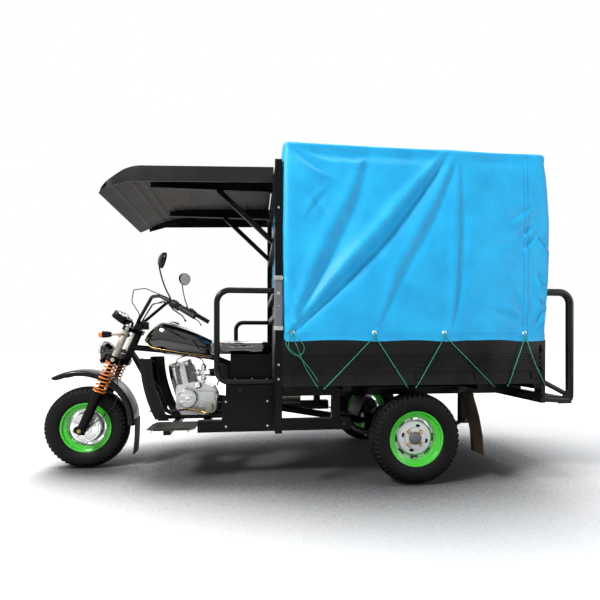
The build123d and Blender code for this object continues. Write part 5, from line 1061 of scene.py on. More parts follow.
rim_mesh = rim_shape()
hex_nut = prism(polygon(6, 9.5 * MM), [(0.85, 0), (1, 1.5 * MM), (1, 9 * MM), (0.86, 10.5 * MM),
    (0.5, 10.6 * MM)])
stud = lathe(mm([(0, 17), (4, 16.5), (5, 15), (5, 0), (0, 0)]), 16)
washer = lathe(mm([(14, 0), (14, 1.6), (12, 2), (6, 2)]), 28)
nut_on_stud = join(hex_nut, stud, washer)
cap = lathe(mm([(0, 9), (14, 8.6), (26, 6.5), (35, 1), (38.5, -5), (39, -11), (0, -11)]), 64)
valve = join(tube(through(mm([(0, 0, 0), (0, 5, 14), (0, 14, 26)]), 5), 3.4 * MM, 12),
    tube(mm([(0, 12.5, 24), (0, 18, 32)]), 4.6 * MM, 12))
for suffix, body, centre, out in wheels:
    make(f"rolled_rim_{suffix}", (rim_mesh[0] + centre, rim_mesh[1]), "rim_enamel", body, (f"rim_{suffix}",),
        sharp=60)
    disc_low, disc_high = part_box(f"wheel_centre_{suffix}")
    face_y = disc_high[1] if out > 0 else disc_low[1]
    facing_out = (0.0, float(out), 0.0)
    hub_face = centre * (1, 0, 1) + np.array([0, face_y, 0])
    make(f"grease_cap_{suffix}", placed(cap, hub_face, out=facing_out),
        "zinc_plate" if suffix == "front" else "grey_plastic", body)
    valve_place = centre + np.array([0.018, out * 8 * MM, -(rim_radius - 44 * MM)])
    make(f"tyre_valve_{suffix}", placed(valve, valve_place, out=facing_out, up=(0, 0, 1)), "grip_rubber",
        body)
    if suffix != "front":
        angle = np.radians(45 + 90 * np.arange(4))
        circle = 52 * MM
        spots = centre + np.stack([circle * np.cos(angle), np.full(4, out * 20.5 * MM),
            circle * np.sin(angle)], -1)
        make(f"wheel_nuts_{suffix}", placed(nut_on_stud, *spots, out=facing_out), "brass", body)

# %% [markdown]
# ## The front end
# The fork leans back by the rake, so its pieces are made upright and turned onto the fork's own direction.
# Each leg has an external coil spring in orange enamel, and above the lower clamp a ribbed silver cover. A
# spring is a helix whose first and last turns lie close, as ground spring ends do.


# %% Bolts and bars used all over
def bolt_head(radius, height, washer=1.45):
    """A hexagon head with a small chamfer, on a round washer."""
    head = prism(polygon(6, radius), [(1, height * 0.15), (1, height * 0.86), (0.88, height),
        (0.4, height * 1.02)])
    ring = lathe([(0, 0), (radius * washer, 0), (radius * washer, height * 0.22), (0, height * 0.24)], 24)
    return join(head, ring)


def bar(start, end, width, thick, up=(0.0, 0.0, 1.0), corner=None):
    """A bar with a rounded rectangular section from start to end. Its width lies square to up."""
    start, end = np.array(start, float), np.array(end, float)
    length = np.linalg.norm(end - start)
    outline = rounded_box(width, thick, corner or min(width, thick) * 0.2, 4)
    edge = min(width, thick) * 0.08
    inner = 1 - 2 * edge / max(width, thick)
    shape = prism(outline, [(inner, 0), (1, edge), (1, length - edge), (inner, length)])
    return placed(shape, start, out=end - start, up=up)


def ridged(length, low, high, count, steps=7):
    """A lathe profile with even round ridges: radius = low + (high - low) |sin|^0.6 along the length."""
    along = np.linspace(0, 1, count * steps + 1)
    radius = low + (high - low) * np.abs(np.sin(np.pi * along * count)) ** 0.6
    body = np.stack([radius, along * length], -1)
    return np.concatenate([[[0, 0]], body, [[0, length]]])


m8_head = bolt_head(6.5 * MM, 5.5 * MM)
m10_head = bolt_head(8.5 * MM, 6.5 * MM)

# %% Springs and covers
leg_y = 116 * MM
spring_foot, spring_top = 268 * MM, 482 * MM
wire, coil_radius, coils = 4.9 * MM, 36.8 * MM, 9.5


def spring_shape(steps=42, sides=10):
    """A helix with closed ends: the height hardly rises over the first and last turn, and evenly between."""
    turn = np.linspace(0, coils, int(coils * steps))
    rise = np.interp(turn, [0, 0.9, coils - 0.9, coils],
        [wire, wire * 2.6, spring_top - spring_foot - wire * 2.6, spring_top - spring_foot - wire])
    soft = np.convolve(np.pad(rise, 8, mode="edge"), np.ones(17) / 17, mode="valid")
    angle = turn * 2 * np.pi
    return tube(np.stack([coil_radius * np.cos(angle), coil_radius * np.sin(angle), soft], -1), wire, sides)


fork_feet = [on_fork(0, side * leg_y, spring_foot) for side in (1, -1)]
make("coil_springs", placed(spring_shape(), *fork_feet, out=fork_up, up=fork_ahead), "spring_enamel",
    "steering", ("fork_springs",), sharp=70)
cover_foot, cover_top = 522 * MM, 706 * MM
cover_shape_ribbed = lathe(ridged(cover_top - cover_foot, 18.6 * MM, 21.8 * MM, 19), 56)
make("ribbed_fork_covers", placed(cover_shape_ribbed, *(on_fork(0, side * leg_y, cover_foot) for side in (1,
    -1)), out=fork_up, up=fork_ahead), "fork_silver", "steering", ("fork_covers",), sharp=70)

clamp_bolts = []
for side in (1, -1):
    for ahead, along in ((34, 496), (34, 508), (26, 720)):
        clamp_bolts.append(placed(m8_head, on_fork(ahead * MM, side * (leg_y - 22 * MM), along * MM),
            out=fork_ahead))
    for along in (502, 720):
        clamp_bolts.append(placed(m10_head,
            on_fork(-6 * MM, side * (leg_y + (42 if along < 600 else 31) * MM), along * MM),
            out=(0, side, 0)))
    crown = lathe(mm([(0, 0), (19, 0), (19, 8), (16, 12), (0, 13)]), 6)
    clamp_bolts.append(placed(crown, on_fork(0, side * leg_y, 734 * MM), out=fork_up, up=fork_ahead))
make("clamp_bolts", join(*clamp_bolts), "zinc_plate", "steering")

axle_nut = join(prism(polygon(6, 14 * MM), [(1, 0), (1, 12 * MM), (0.86, 14 * MM), (0.5, 14.2 * MM)]),
    lathe(mm([(0, 20), (7, 19), (8, 17), (8, 0), (0, 0)]), 20),
    lathe(mm([(0, 0), (19, 0), (19, 3), (0, 3.2)]), 32))
axle_places = [(on_fork(0, side * (leg_y + 30 * MM), 0), side) for side in (1, -1)]
make("axle_nuts", join(*(placed(axle_nut, place, out=(0, side, 0)) for place, side in axle_places)), "brass",
    "steering")
lug = prism(rounded_box(64 * MM, 46 * MM, 20 * MM, 8), [(0.9, 0), (1, 3 * MM), (1, 57 * MM), (0.9, 60 * MM)])
lugs = [placed(lug, on_fork(8 * MM, side * (leg_y - 26 * MM), -2 * MM), out=(0, side, 0),
    up=fork_up) for side in (1, -1)]
make("axle_lugs", join(*lugs), "frame_enamel", "steering")

# %% Front brake
plate_low_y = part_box("front_brake")[0][1]
brake_radius = 96 * MM
plate = lathe([(0, 0), (brake_radius, 0), (brake_radius, 3 * MM), mm(90, 5), mm(86, 5), mm(83, 3), mm(60, 7),
    mm(44, 9), mm(42, 16), mm(26, 18), mm(24, 28), (0, 28.5 * MM)], 84)
brake_centre = front_axle * (1, 0, 1) + np.array([0, plate_low_y, 0])
ribs = []
for turn in np.radians([20, 70, 120, 170, 220, 270, 320]):
    way = np.array([np.cos(turn), 0, np.sin(turn)])
    ribs.append(bar(brake_centre + way * 40 * MM + np.array([0, 7 * MM, 0]),
        brake_centre + way * 84 * MM + np.array([0, 4 * MM, 0]), 5 * MM, 8 * MM, up=(0, 1, 0)))
cam = lathe(mm([(0, 0), (11, 0), (11, 22), (7, 24), (0, 24.5)]), 24)
cam_place = brake_centre + mm(-58, 4, 22)
make("brake_backplate", join(placed(plate, brake_centre, out=(0, 1, 0)), *ribs,
    placed(cam, cam_place, out=(0, 1, 0))), "polished_cover", "steering", ("front_brake",), sharp=40)
arm_tip = brake_centre + mm(36, 26, -44)
arm_root = cam_place + mm(0, 22, 0)
make("brake_arm", join(bar(arm_root, arm_tip, 13 * MM, 5 * MM, up=(0, 1, 0)),
    placed(m8_head, arm_root + mm(0, 2, 0), out=(0, 1, 0)), placed(m8_head, arm_tip + mm(0, 2, 0),
    out=(0, 1, 0))), "zinc_plate", "steering")

# %% [markdown]
# The front mudguard is a pressed strip on an arc about a centre a little ahead of the axle. Its section has a
# crowned top, round corners and two skirts, which get shallower towards the tip. The section is
# carried round the arc, and a Solidify gives the sheet its thickness.

# %% Front mudguard
guard_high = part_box("front_mudguard")[1]
guard_centre = front_axle * (1, 0, 1) + mm(31, 0, 37)
guard_radius, guard_half = 349 * MM, guard_high[1]
guard_angle = np.radians(np.linspace(60, 184, 96))[:, None]
half_section = np.array([(guard_half, 38), (guard_half, 30), (guard_half - 0.3 * MM, 20),
    (guard_half - 3 * MM, 11), (guard_half - 10 * MM, 5.5), (guard_half - 22 * MM, 3), (30 * MM, 1.2),
    (0, 0)])
half_section[:, 1] *= MM
section = through(np.concatenate([half_section, half_section[-2::-1] * (-1, 1)]), 3)
tip = np.clip((guard_angle - guard_angle[0]) / np.radians(11), 0, 1)
shallow = 0.3 + 0.7 * np.sqrt(1 - (1 - tip) ** 2)
depth = section[None, :, 1] * shallow
narrow = 1 - 0.10 * (1 - np.sqrt(1 - (1 - tip) ** 2))
reach = guard_radius - depth
guard_points = guard_centre + np.stack([reach * np.cos(guard_angle), section[None, :, 0] * narrow,
    reach * np.sin(guard_angle)], -1)
guard = make("crowned_mudguard", grid(guard_points), "tube_enamel", "steering", ("front_mudguard",),
    closed=False, sharp=60)
skin = guard.modifiers.new("sheet steel", "SOLIDIFY")
skin.thickness = 2.4 * MM
skin.offset = -1
stays = []
for side in (1, -1):
    low = on_fork(0, side * (guard_half + 2 * MM), 236 * MM)
    high = on_fork(0, side * (guard_half + 2 * MM), 352 * MM)
    stays.append(bar(low, high, 30 * MM, 4 * MM, up=(0, 1, 0)))
    stays.append(bar(low + (high - low) * 0.1, low + (high - low) * 0.1 + np.array([0, side * 14 * MM, 0]),
        22 * MM, 22 * MM, corner=10 * MM))
    for share in (0.75, 0.93):
        stays.append(placed(m8_head, low + (high - low) * share + np.array([0, side * 2 * MM, 0]),
            out=(0, side, 0)))
make("mudguard_stays", join(*stays), "frame_enamel", "steering")
flap_top = guard_centre + np.array([-guard_radius, 0, 0])
rivets = [flap_top + np.array([2 * MM, y, -4 * MM]) for y in (-0.045, 0.0, 0.045)]
flap_rivets = [placed(m8_head, place, out=(-1, 0, 0)) for place in rivets]
guard_bolts = [guard_centre + guard_radius * np.array([np.cos(a), 0, np.sin(a)]) + np.array([0, y, 0])
    for a in np.radians([112, 124]) for y in (-0.02, 0.02)]
guard_bolt_shapes = [placed(m8_head, place, out=place * (1, 0, 1) - guard_centre) for place in guard_bolts]
make("mudguard_bolts", join(*flap_rivets, *guard_bolt_shapes), "zinc_plate", "steering")

# %% [markdown]
# ## Lamps and instrument
# The headlamp is turned about the X axis: a black shell, a chrome rim, a silver dish and a clear lens with a
# shallow dome. The indicators are small black pods with an amber front, on ringed rubber stalks.

# %% Headlamp
lamp_place = np.array([at(1.974, 0, 0)[0], 0.0, 0.775])
shell = lathe(mm([(0, -78), (22, -76), (46, -67), (64, -48), (73, -26), (76, -8), (76, -1), (72, -1),
    (69, -24), (58, -46), (40, -60), (0, -62)]), 84)
rim_ring = lathe(mm([(70, 2), (72, 6), (76, 7.5), (79.5, 5), (80, 0), (79, -6), (76.5, -8), (75, -3),
    (71, 0)]), 96, True)
dish = lathe(mm([(10, -52), (24, -46), (42, -34), (58, -18), (69, -2), (70, -2), (59, -20), (42, -37),
    (24, -49), (9, -55)]), 72, True)
bulb = lathe(mm([(0, -22), (5, -23), (8, -28), (8, -36), (6, -42), (6, -54), (0, -55)]), 24)
lens = lathe(mm([(0, 13), (20, 12.2), (40, 9.6), (56, 6), (70, 0.5), (71, -1), (56, 3), (40, 6.6), (20, 9.2),
    (0, 10)]), 96)
clear = bpy.data.materials.new("clear_lamp_glass")
clear.use_nodes = True
clear.node_tree.nodes.clear()
clear_noise = add(clear.node_tree, "TexNoise", {"Scale": 90.0, "Detail": 2.0},
    {"Vector": add(clear.node_tree, "TexCoord").outputs["Object"]})
clear_bump = add(clear.node_tree, "Bump", {"Strength": 0.05, "Distance": 0.0005},
    {"Height": clear_noise.outputs["Fac"]})
clear_shader = add(clear.node_tree, "BsdfPrincipled", {"Base Color": linear("#f2f6f7"), "Roughness": 0.04,
    "Transmission Weight": 1.0, "IOR": 1.45}, {"Normal": clear_bump.outputs[0]})
add(clear.node_tree, "OutputMaterial", None, {"Surface": clear_shader.outputs[0]})
finishes["clear_glass"] = (clear, "lamp_plastic")
ears = []
for side in (1, -1):
    near = lamp_place + mm(-26, side * 77, 6)
    far = np.array([at(1.856, 0, 0)[0], side * 94 * MM, 0.781])
    ears.append(bar(near, far, 26 * MM, 5 * MM, up=(0, 1, 0)))
    ears.append(placed(m10_head, near + mm(0, side * 2, 0), out=(0, side, 0)))
make("headlamp_shell", join(placed(shell, lamp_place, out=(1, 0, 0)), *ears), "tank_lacquer", "steering",
    ("headlamp",), sharp=45)
make("headlamp_rim", placed(rim_ring, lamp_place, out=(1, 0, 0)), "chrome_plate", "steering")
make("headlamp_dish", join(placed(dish, lamp_place, out=(1, 0, 0)), placed(bulb, lamp_place, out=(1, 0, 0))),
    "chrome_plate", "steering")
make("headlamp_lens", placed(lens, lamp_place, out=(1, 0, 0)), "clear_glass", "steering")

# %% Indicators
stalk_x = at(2.071, 0, 0)[0] - (0.894 - front_axle[2]) * np.tan(np.arctan2(-fork_up[0], fork_up[2]))
signal_middle = np.array([stalk_x + 0.095, 0.196, 0.894])
pod = prism(rounded_box(56 * MM, 42 * MM, 15 * MM, 8), [(0.35, -38 * MM), (0.62, -35 * MM), (0.84, -24 * MM),
    (0.97, -6 * MM), (1, 8 * MM), (1, 12 * MM)])
amber = prism(rounded_box(53 * MM, 39 * MM, 14 * MM, 8), [(1, 11 * MM), (1, 24 * MM), (0.93, 31 * MM),
    (0.76, 36 * MM), (0.4, 38.5 * MM)])
for side, side_name in ((1, "left"), (-1, "right")):
    middle = signal_middle * (1, side, 1)
    neck = [np.array([stalk_x, side * 0.137, 0.894]), np.array([stalk_x + 0.01, side * 0.175, 0.894]),
        middle + np.array([-0.034, 0, 0])]
    neck = evenly(through(neck, 8), 30)
    ringed = 6.4 * MM + 1.4 * MM * np.abs(np.sin(np.linspace(0, 9 * np.pi, 30)))
    make(f"indicator_pod_{side_name}", placed(pod, middle, out=(1, 0, 0)), "moulded_plastic", "steering",
        ("turn_signals",) if side > 0 else (), sharp=45)
    make(f"indicator_stalk_{side_name}", tube(neck, ringed, 16), "fork_silver", "steering", sharp=80)
    make(f"indicator_lens_{side_name}", placed(amber, middle, out=(1, 0, 0)), "amber_lens", "steering",
        sharp=45)

# %% Instrument
tilt = np.radians(38)
dial_out = np.array([-np.sin(tilt), 0, np.cos(tilt)])
dial_up = np.array([np.cos(tilt), 0, np.sin(tilt)])
dial_place = at(1.850, 0, 1.010)
housing = pillow(*mm(150, 108, 46, 34, 7))
lip = prism(rounded_box(154 * MM, 112 * MM, 36 * MM, 8), [(1, 0), (1, 7 * MM), (0.985, 9 * MM),
    (0.95, 9.2 * MM)])
housing_place = dial_place - dial_out * 26 * MM
bracket = tube(bent([on_fork(12 * MM, 0, 734 * MM), on_fork(12 * MM, 0, 764 * MM),
    dial_place - dial_out * 20 * MM], 20 * MM), 8 * MM, 14)
make("instrument_housing", join(placed(housing, housing_place, out=dial_out, up=dial_up),
    placed(lip, dial_place + dial_out * 12 * MM, out=dial_out, up=dial_up), bracket), "moulded_plastic",
    "steering", ("instrument",), sharp=40)
bezel = lathe(mm([(31, 0), (36, 0), (36.5, 5), (35, 8.5), (32.5, 9), (30.5, 6), (30, 2)]), 64, True)
dial_face = lathe(mm([(0, 0), (31, 0), (31, 2.5), (0, 2.6)]), 48)
dial_glass = lathe(mm([(0, 8.4), (18, 8), (31, 6.2), (31.5, 5), (0, 6.6)]), 48)
across = np.cross(dial_up, dial_out)
centres = [dial_place + dial_out * 20.5 * MM + across * offset for offset in mm(-37, 37)]
ticks = []
for angle_deg in np.arange(-130, 131, 20):
    turn = np.radians(angle_deg)
    for middle in centres:
        way = dial_up * np.cos(turn) + across * np.sin(turn)
        spot = middle + dial_out * 2.8 * MM
        ticks.append(bar(spot + way * 22 * MM, spot + way * 28 * MM, 1.4 * MM, 0.6 * MM, up=dial_out))
needles = [bar(middle + dial_out * 3.6 * MM, middle + dial_out * 3.6 * MM - across * 18 * MM - dial_up * 14
    * MM, 1.8 * MM, 1 * MM, up=dial_out) for middle in centres]
make("dial_bezels", placed(bezel, *centres, out=dial_out, up=dial_up), "chrome_plate", "steering")
make("dial_faces", placed(dial_face, *centres, out=dial_out, up=dial_up), "grip_rubber", "steering")
make("dial_ticks", join(*ticks), "dial_white", "steering")
make("dial_needles", join(*needles), "red_lens", "steering")
make("dial_glass", placed(dial_glass, *centres, out=dial_out, up=dial_up), "clear_glass", "steering")

# %% [markdown]
# ## Handlebar
# The bar itself is carried over. Its grips are ribbed rubber with a flange, the switch blocks are moulded
# boxes with small buttons, and the levers are tapered bars with a ball at the tip, hung below and ahead of
# the grips. The mirrors are shells with a flat glass set in.

# %% Grips, switches, levers
bar_ends = [(at(1.535, side * 0.305, 1.132), at(1.312, side * 0.395, 1.000), side) for side in (1, -1)]
grip_profile = [(11.2, 0), (23, 0), (24, 2), (23, 4), (17, 5)]
for rib in range(17):
    grip_profile += [(17, 7 + rib * 6.4), (17, 10 + rib * 6.4), (15.6, 11 + rib * 6.4),
        (15.6, 13 + rib * 6.4)]
grip_profile += [(17.2, 118), (18, 121), (17.5, 124.5), (12, 126), (0, 126)]
grip_shape = lathe(mm(grip_profile), 36)
switch = pillow(*mm(41, 44, 54, 13, 4))
grips, blocks, buttons_blue, buttons_black, levers, perches = [], [], [], [], [], []
for start, end, side in bar_ends:
    along = (end - start) / np.linalg.norm(end - start)
    below = np.array([0.5, 0.0, -0.86])
    below = below - along * np.dot(below, along)
    below = below / np.linalg.norm(below)
    grips.append(placed(grip_shape, end - along * 125 * MM, out=along))
    blocks.append(placed(switch, end - along * 181 * MM, out=along, up=-below))
    rear = np.cross(along, below) * side
    rear = rear if rear[0] < 0 else -rear
    top = end - along * 160 * MM - below * 22 * MM
    buttons_blue.append(placed(pillow(*mm(11, 11, 7, 4, 1.5)), top, out=-below, up=along))
    for shift, width in ((-14, 9), (16, 12)):
        buttons_black.append(placed(pillow(width * MM, 9 * MM, 6 * MM, 3 * MM, 1.2 * MM),
            top + along * shift * MM + below * 1 * MM, out=-below, up=along))
    root = end - along * 172 * MM + below * 20 * MM
    perches.append(bar(end - along * 186 * MM, root, 24 * MM, 22 * MM, up=along, corner=8 * MM))
    tip = root + along * 132 * MM + below * 30 * MM
    line = through([root, root + along * 22 * MM + below * 9 * MM, root + along * 60 * MM + below * 12 * MM,
        root + along * 100 * MM + below * 15 * MM, tip], 8)
    wide = np.interp(np.linspace(0, 1, len(line)), [0, 0.15, 0.8, 0.93, 1], [5, 6.5, 4.6, 4.4, 6.2]) * MM
    levers.append(tube(line, wide, 14, flat=0.8))
    ball = lathe(mm([(0, -7), (5, -5), (7, 0), (5, 5), (0, 7)]), 20)
    levers.append(placed(ball, tip, out=along))
make("ribbed_grips", join(*grips), "grip_rubber", "steering", ("hand_controls",), sharp=40)
make("switch_blocks", join(*blocks, *perches), "moulded_plastic", "steering")
make("switch_buttons_blue", join(*buttons_blue), "fuse_blue", "steering")
make("switch_buttons_black", join(*buttons_black), "grip_rubber", "steering")
make("hand_levers", join(*levers), "tube_enamel", "steering", sharp=60)


# %% Mirrors
def mirror_shell(width=74 * MM, height=48 * MM, depth=30 * MM, rings_count=12, sides=48):
    """Half an egg: x = w cos a (1 + 0.12 sin a), y = h sin a, shrinking along a quarter circle of depth."""
    angle = np.linspace(0, 2 * np.pi, sides, endpoint=False)
    outline = np.stack([width * np.cos(angle) * (1 + 0.12 * np.sin(angle)), height * np.sin(angle)], -1)
    turn = np.linspace(0, np.pi / 2 * 0.97, rings_count)
    flat = outline[None] * np.cos(turn)[:, None, None] ** 0.8
    level = np.repeat((-depth * np.sin(turn))[:, None], sides, 1)[..., None]
    back = np.concatenate([flat, level], -1)
    lip = np.concatenate([outline * 0.985, np.full((sides, 1), 2.5 * MM)], -1)[None]
    lip_in = np.concatenate([outline * 0.93, np.full((sides, 1), 2.5 * MM)], -1)[None]
    bed = np.concatenate([outline * 0.92, np.full((sides, 1), -1 * MM)], -1)[None]
    return rings(np.concatenate([bed, lip_in, lip, back]))


glass_outline = mirror_shell()[0][:48, :2]
mirror_glass = prism(glass_outline * 1.0, [(1, -1.2 * MM), (1, 0.8 * MM)])
shells, glasses, stems = [], [], []
for start, end, side in bar_ends:
    along = (end - start) / np.linalg.norm(end - start)
    centre = at(1.495, side * 0.395, 1.335)
    out = np.array([-1.0, side * -0.42, -0.2])
    shells.append(placed(mirror_shell(), centre, out=out, up=(0, 0, 1)))
    glasses.append(placed(mirror_glass, centre, out=out, up=(0, 0, 1)))
    perch = end - along * 196 * MM
    behind = centre - out / np.linalg.norm(out) * 20 * MM
    stems.append(tube(through([perch, perch + np.array([-0.004, 0, 0.02]),
        perch * 0.62 + behind * 0.38 + np.array([0.008, side * 0.012, 0]),
        behind + np.array([0.004, 0, -0.05]), behind], 8), 4.6 * MM, 12))
    knuckle = lathe(mm([(0, -9), (8, -8), (9, 0), (8, 8), (0, 9)]), 20)
    stems.append(placed(knuckle, perch + np.array([0, 0, 0.012]), out=(0, 0, 1)))
    stems.append(bar(perch - along * 9 * MM, perch + along * 9 * MM, 34 * MM, 34 * MM, corner=15 * MM))
make("mirror_shells", join(*shells), "moulded_plastic", "steering", ("mirrors",), sharp=50)
make("mirror_stems", join(*stems), "tube_enamel", "steering", sharp=50)
make("mirror_glass", join(*glasses), "chrome_plate", "steering")

# %% [markdown]
# ## Fuel tank
# The tank is pressed in two halves, so each cross section is the same rounded shape, made wider or lower
# along the tank. Two curves give its top and its bottom, one its width, and a gold line follows its lower
# edge and climbs round the nose.

# %% Tank
tank_low, tank_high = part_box("fuel_tank")
tank_length = tank_high[0] - tank_low[0]
tank_width = tank_high[1]
# shares of the length from the nose, of the height, and of the half width
top_shares = through([(0.0, 0.50), (0.03, 0.62), (0.09, 0.77), (0.2, 0.95), (0.27, 0.995), (0.42, 0.95),
    (0.62, 0.83), (0.82, 0.68), (1.0, 0.51)], 12)
low_shares = through([(0.0, 0.50), (0.03, 0.40), (0.1, 0.27), (0.25, 0.18), (0.5, 0.10), (0.75, 0.045),
    (1.0, 0.0)], 12)
width_shares = through([(0.0, 0.42), (0.04, 0.56), (0.12, 0.73), (0.25, 0.91), (0.4, 1.0), (0.6, 0.97),
    (0.8, 0.83), (1.0, 0.6)], 12)
section_shares = through([(0.0, 1.0), (0.42, 0.985), (0.74, 0.9), (0.93, 0.7), (1.0, 0.47), (0.95, 0.22),
    (0.84, 0.07), (0.66, 0.0), (0.0, 0.0)], 8)


def tank_points(stations, proud=0.0):
    """Points at the stations, shares from nose to tail, for each share of the section, moved out by proud."""
    top = np.interp(stations, top_shares[:, 0], top_shares[:, 1])
    low = np.interp(stations, low_shares[:, 0], low_shares[:, 1])
    half = np.interp(stations, width_shares[:, 0], width_shares[:, 1]) * tank_width
    height = tank_high[2] - tank_low[2]
    y = half[:, None] * section_shares[None, :, 0]
    z = tank_low[2] + height * (low[:, None] + (top - low)[:, None] * section_shares[None, :, 1])
    x = np.broadcast_to(tank_high[0] - stations[:, None] * tank_length, y.shape)
    points = np.stack([x, y, z], -1)
    if proud:
        middle = points.mean(axis=1, keepdims=True) * (1, 0, 1)
        reach_out = np.maximum(np.linalg.norm(points - middle, axis=-1, keepdims=True), 1 * MM)
        points = points + (points - middle) / reach_out * proud
    return points


# stations lie closer together at the nose and the tail
even = np.linspace(0, 1, 64)
stations = (np.sin(even * np.pi / 2) ** 2 + even) * 0.5
half_tank = tank_points(stations) * (1, 0.998, 1)
whole = np.concatenate([half_tank, half_tank[:, -2:0:-1] * (1, -1, 1)], 1)
make("tank_shell", rings(whole), "tank_lacquer", replaces=("fuel_tank",), sharp=50)
# the gold line follows two columns of the tank's grid: its lower edge, then its shoulder at the nose
edge_column, shoulder_column = 47, 14
line_low = tank_points(np.linspace(1.0, 0.0, 60) ** 1.3, 0.4 * MM)[:, edge_column]
line_high = tank_points(np.linspace(0.0, 0.19, 20), 0.6 * MM)[:, shoulder_column]
round_nose = through([line_low[-1], line_low[-1] * (1, 0.97, 1) + (0.6 * MM, 0, 0), line_high[0]], 6)
pin_line = np.concatenate([line_low[:-1], round_nose, line_high[1:]])
make("tank_pin_line", mirrored(tube(pin_line, 2.1 * MM, 8)), "gold_stripe")
filler_station, filler_level = 0.42, 0.955
filler_place = (tank_high[0] - filler_station * tank_length, 0,
                tank_low[2] + filler_level * (tank_high[2] - tank_low[2]))
filler = lathe(mm([(0, 0), (36, 0), (36, 7), (33, 10), (31, 14), (24, 17), (0, 18)]), 48)
make("filler_cap", placed(filler, filler_place, out=(-0.18, 0, 1)), "chrome_plate")

# %% [markdown]
# ## Engine
# The engine is an upright, air-cooled single, with its castings left in silver. The solids give the cases
# and the covers. Added here are what a casting carries: ribs and a rim pressed into the covers,
# case bolts, the plug and its lead, hoses, and the carburettor's small parts.

# %% Covers and bolts
case_face = 88 * MM
cover_face = case_face + 42 * MM
cover_ahead, cover_height = 1.396, 0.470
cover_place = at(cover_ahead, cover_face, cover_height)
ring = lathe(mm([(57, -1), (57, 1.2), (55.4, 2), (53.6, 1.2), (53.6, -1)]), 72, loop=True)
badge = lathe(mm([(0, 2.2), (13, 2.2), (15, 1.2), (15, -1), (0, -1)]), 40)
cover_ribs = [bar(cover_place + (-half, 0.2 * MM, level), cover_place + (half, 0.2 * MM, level),
                  3.4 * MM, 5 * MM)
              for level, half in mm(((24, 44), (18, 47), (-18, 47), (-24, 44)))]
cap_dome = lathe(mm([(0, 7), (9, 6.4), (17, 4), (22, 0), (22, -4), (0, -4)]), 48)
slot_bar = bar(mm(-9, 0, 7), mm(9, 0, 7), 2.4 * MM, 2 * MM)
filter_dome = placed(join(cap_dome, slot_bar), at(1.330, case_face + 26 * MM, 0.552), out=(0, 1, 0))
make("cover_trim", join(placed(join(ring, badge), cover_place, out=(0, 1, 0)), filter_dome, *cover_ribs),
    "polished_cover")

m6_head = bolt_head(5 * MM, 4.5 * MM, 1.3)


def bolt_circle(middle, radius, degrees):
    """Places on a circle in the engine's side, at these angles from straight ahead."""
    turn = np.radians(degrees)
    return [middle + (radius * c, 0, radius * s) for c, s in zip(np.cos(turn), np.sin(turn))]


corners = [(a, b) for a in (-1, 1) for b in (-1, 1)]
cover_bolts = bolt_circle(at(cover_ahead, case_face + 8 * MM, cover_height), 70 * MM, np.arange(20, 380, 60))
gear_bolts = [at(1.271 + a * 56 * MM, case_face + 4 * MM, 0.476 + b * 36 * MM) for a, b in corners]
right_bolts = bolt_circle(at(1.380, -case_face - 6 * MM, 0.465), 85 * MM, np.arange(0, 360, 45))
boss = lathe(mm([(7.5, -10), (7, 2), (0, 2)]), 20)
make("engine_bolts", join(placed(join(m6_head, boss), *cover_bolts, *gear_bolts, out=(0, 1, 0)),
    placed(join(m6_head, boss), *right_bolts, out=(0, -1, 0))), "zinc_plate")

lean = np.radians(12.0)
barrel_up = np.array([np.sin(lean), 0.0, np.cos(lean)])
barrel_ahead = np.array([np.cos(lean), 0.0, -np.sin(lean)])
barrel_foot = at(1.410, 0, 0.540)


def on_barrel(ahead, side, along):
    """A place from the barrel's foot: ahead across the bore, side to the left, along up the bore."""
    return barrel_foot + barrel_ahead * ahead + barrel_up * along + np.array([0.0, side, 0.0])


# fins with softened edges, up the barrel and its head
fin_count, first_fin, fin_pitch, fin_thick, fin_round = 13, 26 * MM, 9.2 * MM, 2.6 * MM, 0.7 * MM
fin_outline = rounded_box(152 * MM, 132 * MM, 18 * MM, 5)
fin_levels = first_fin + np.arange(fin_count) * fin_pitch
fin = prism(fin_outline, [(0.985, 0), (1, fin_round), (1, fin_thick - fin_round), (0.985, fin_thick)])
# painted shade: the core between the fins is near black, so that the gaps read as shade
core = prism(rounded_box(116 * MM, 98 * MM, 16 * MM, 5), [(1, -6 * MM), (1, 146 * MM)])
make("barrel_core_painted_shade", placed(core, on_barrel(0, 0, 0), out=barrel_up, up=(0, 1, 0)), "barrel_shade_black",
    replaces=("engine_cylinder",))
make("barrel_fins", placed(fin, *(on_barrel(0, 0, level) for level in fin_levels), out=barrel_up,
    up=(0, 1, 0)), "cast_aluminium")
case_outline = rounded_box(46 * MM, 26 * MM, 8 * MM, 5)
chain_case = prism(case_outline, [(1, 0), (1, 128 * MM), (0.94, 133 * MM)])
rocker_cover = pillow(*mm(112, 104, 34, 20, 9))
inspection = lathe(mm([(0, 9), (14, 8.4), (17, 6), (18, 0), (0, 0)]), 6)
make("head_castings", join(placed(chain_case, on_barrel(0, 72 * MM, 16 * MM), out=barrel_up, up=(0, 1, 0)),
    placed(rocker_cover, on_barrel(0, 0, 140 * MM), out=barrel_up, up=(0, 1, 0)),
    placed(inspection, on_barrel(*mm(30, 50, 158)), on_barrel(*mm(-30, 50, 158)), out=(0, 1, 0)),),
    "cast_aluminium")
chain_bolts = [on_barrel(0, 85 * MM, level * MM) for level in (34, 84, 134)]
head_bolts = [on_barrel(a * 44 * MM, b * 40 * MM, 173 * MM) for a, b in corners]
make("head_bolts", join(placed(m6_head, *chain_bolts, out=(0, 1, 0)), placed(m8_head, *head_bolts,
    out=barrel_up)), "zinc_plate")

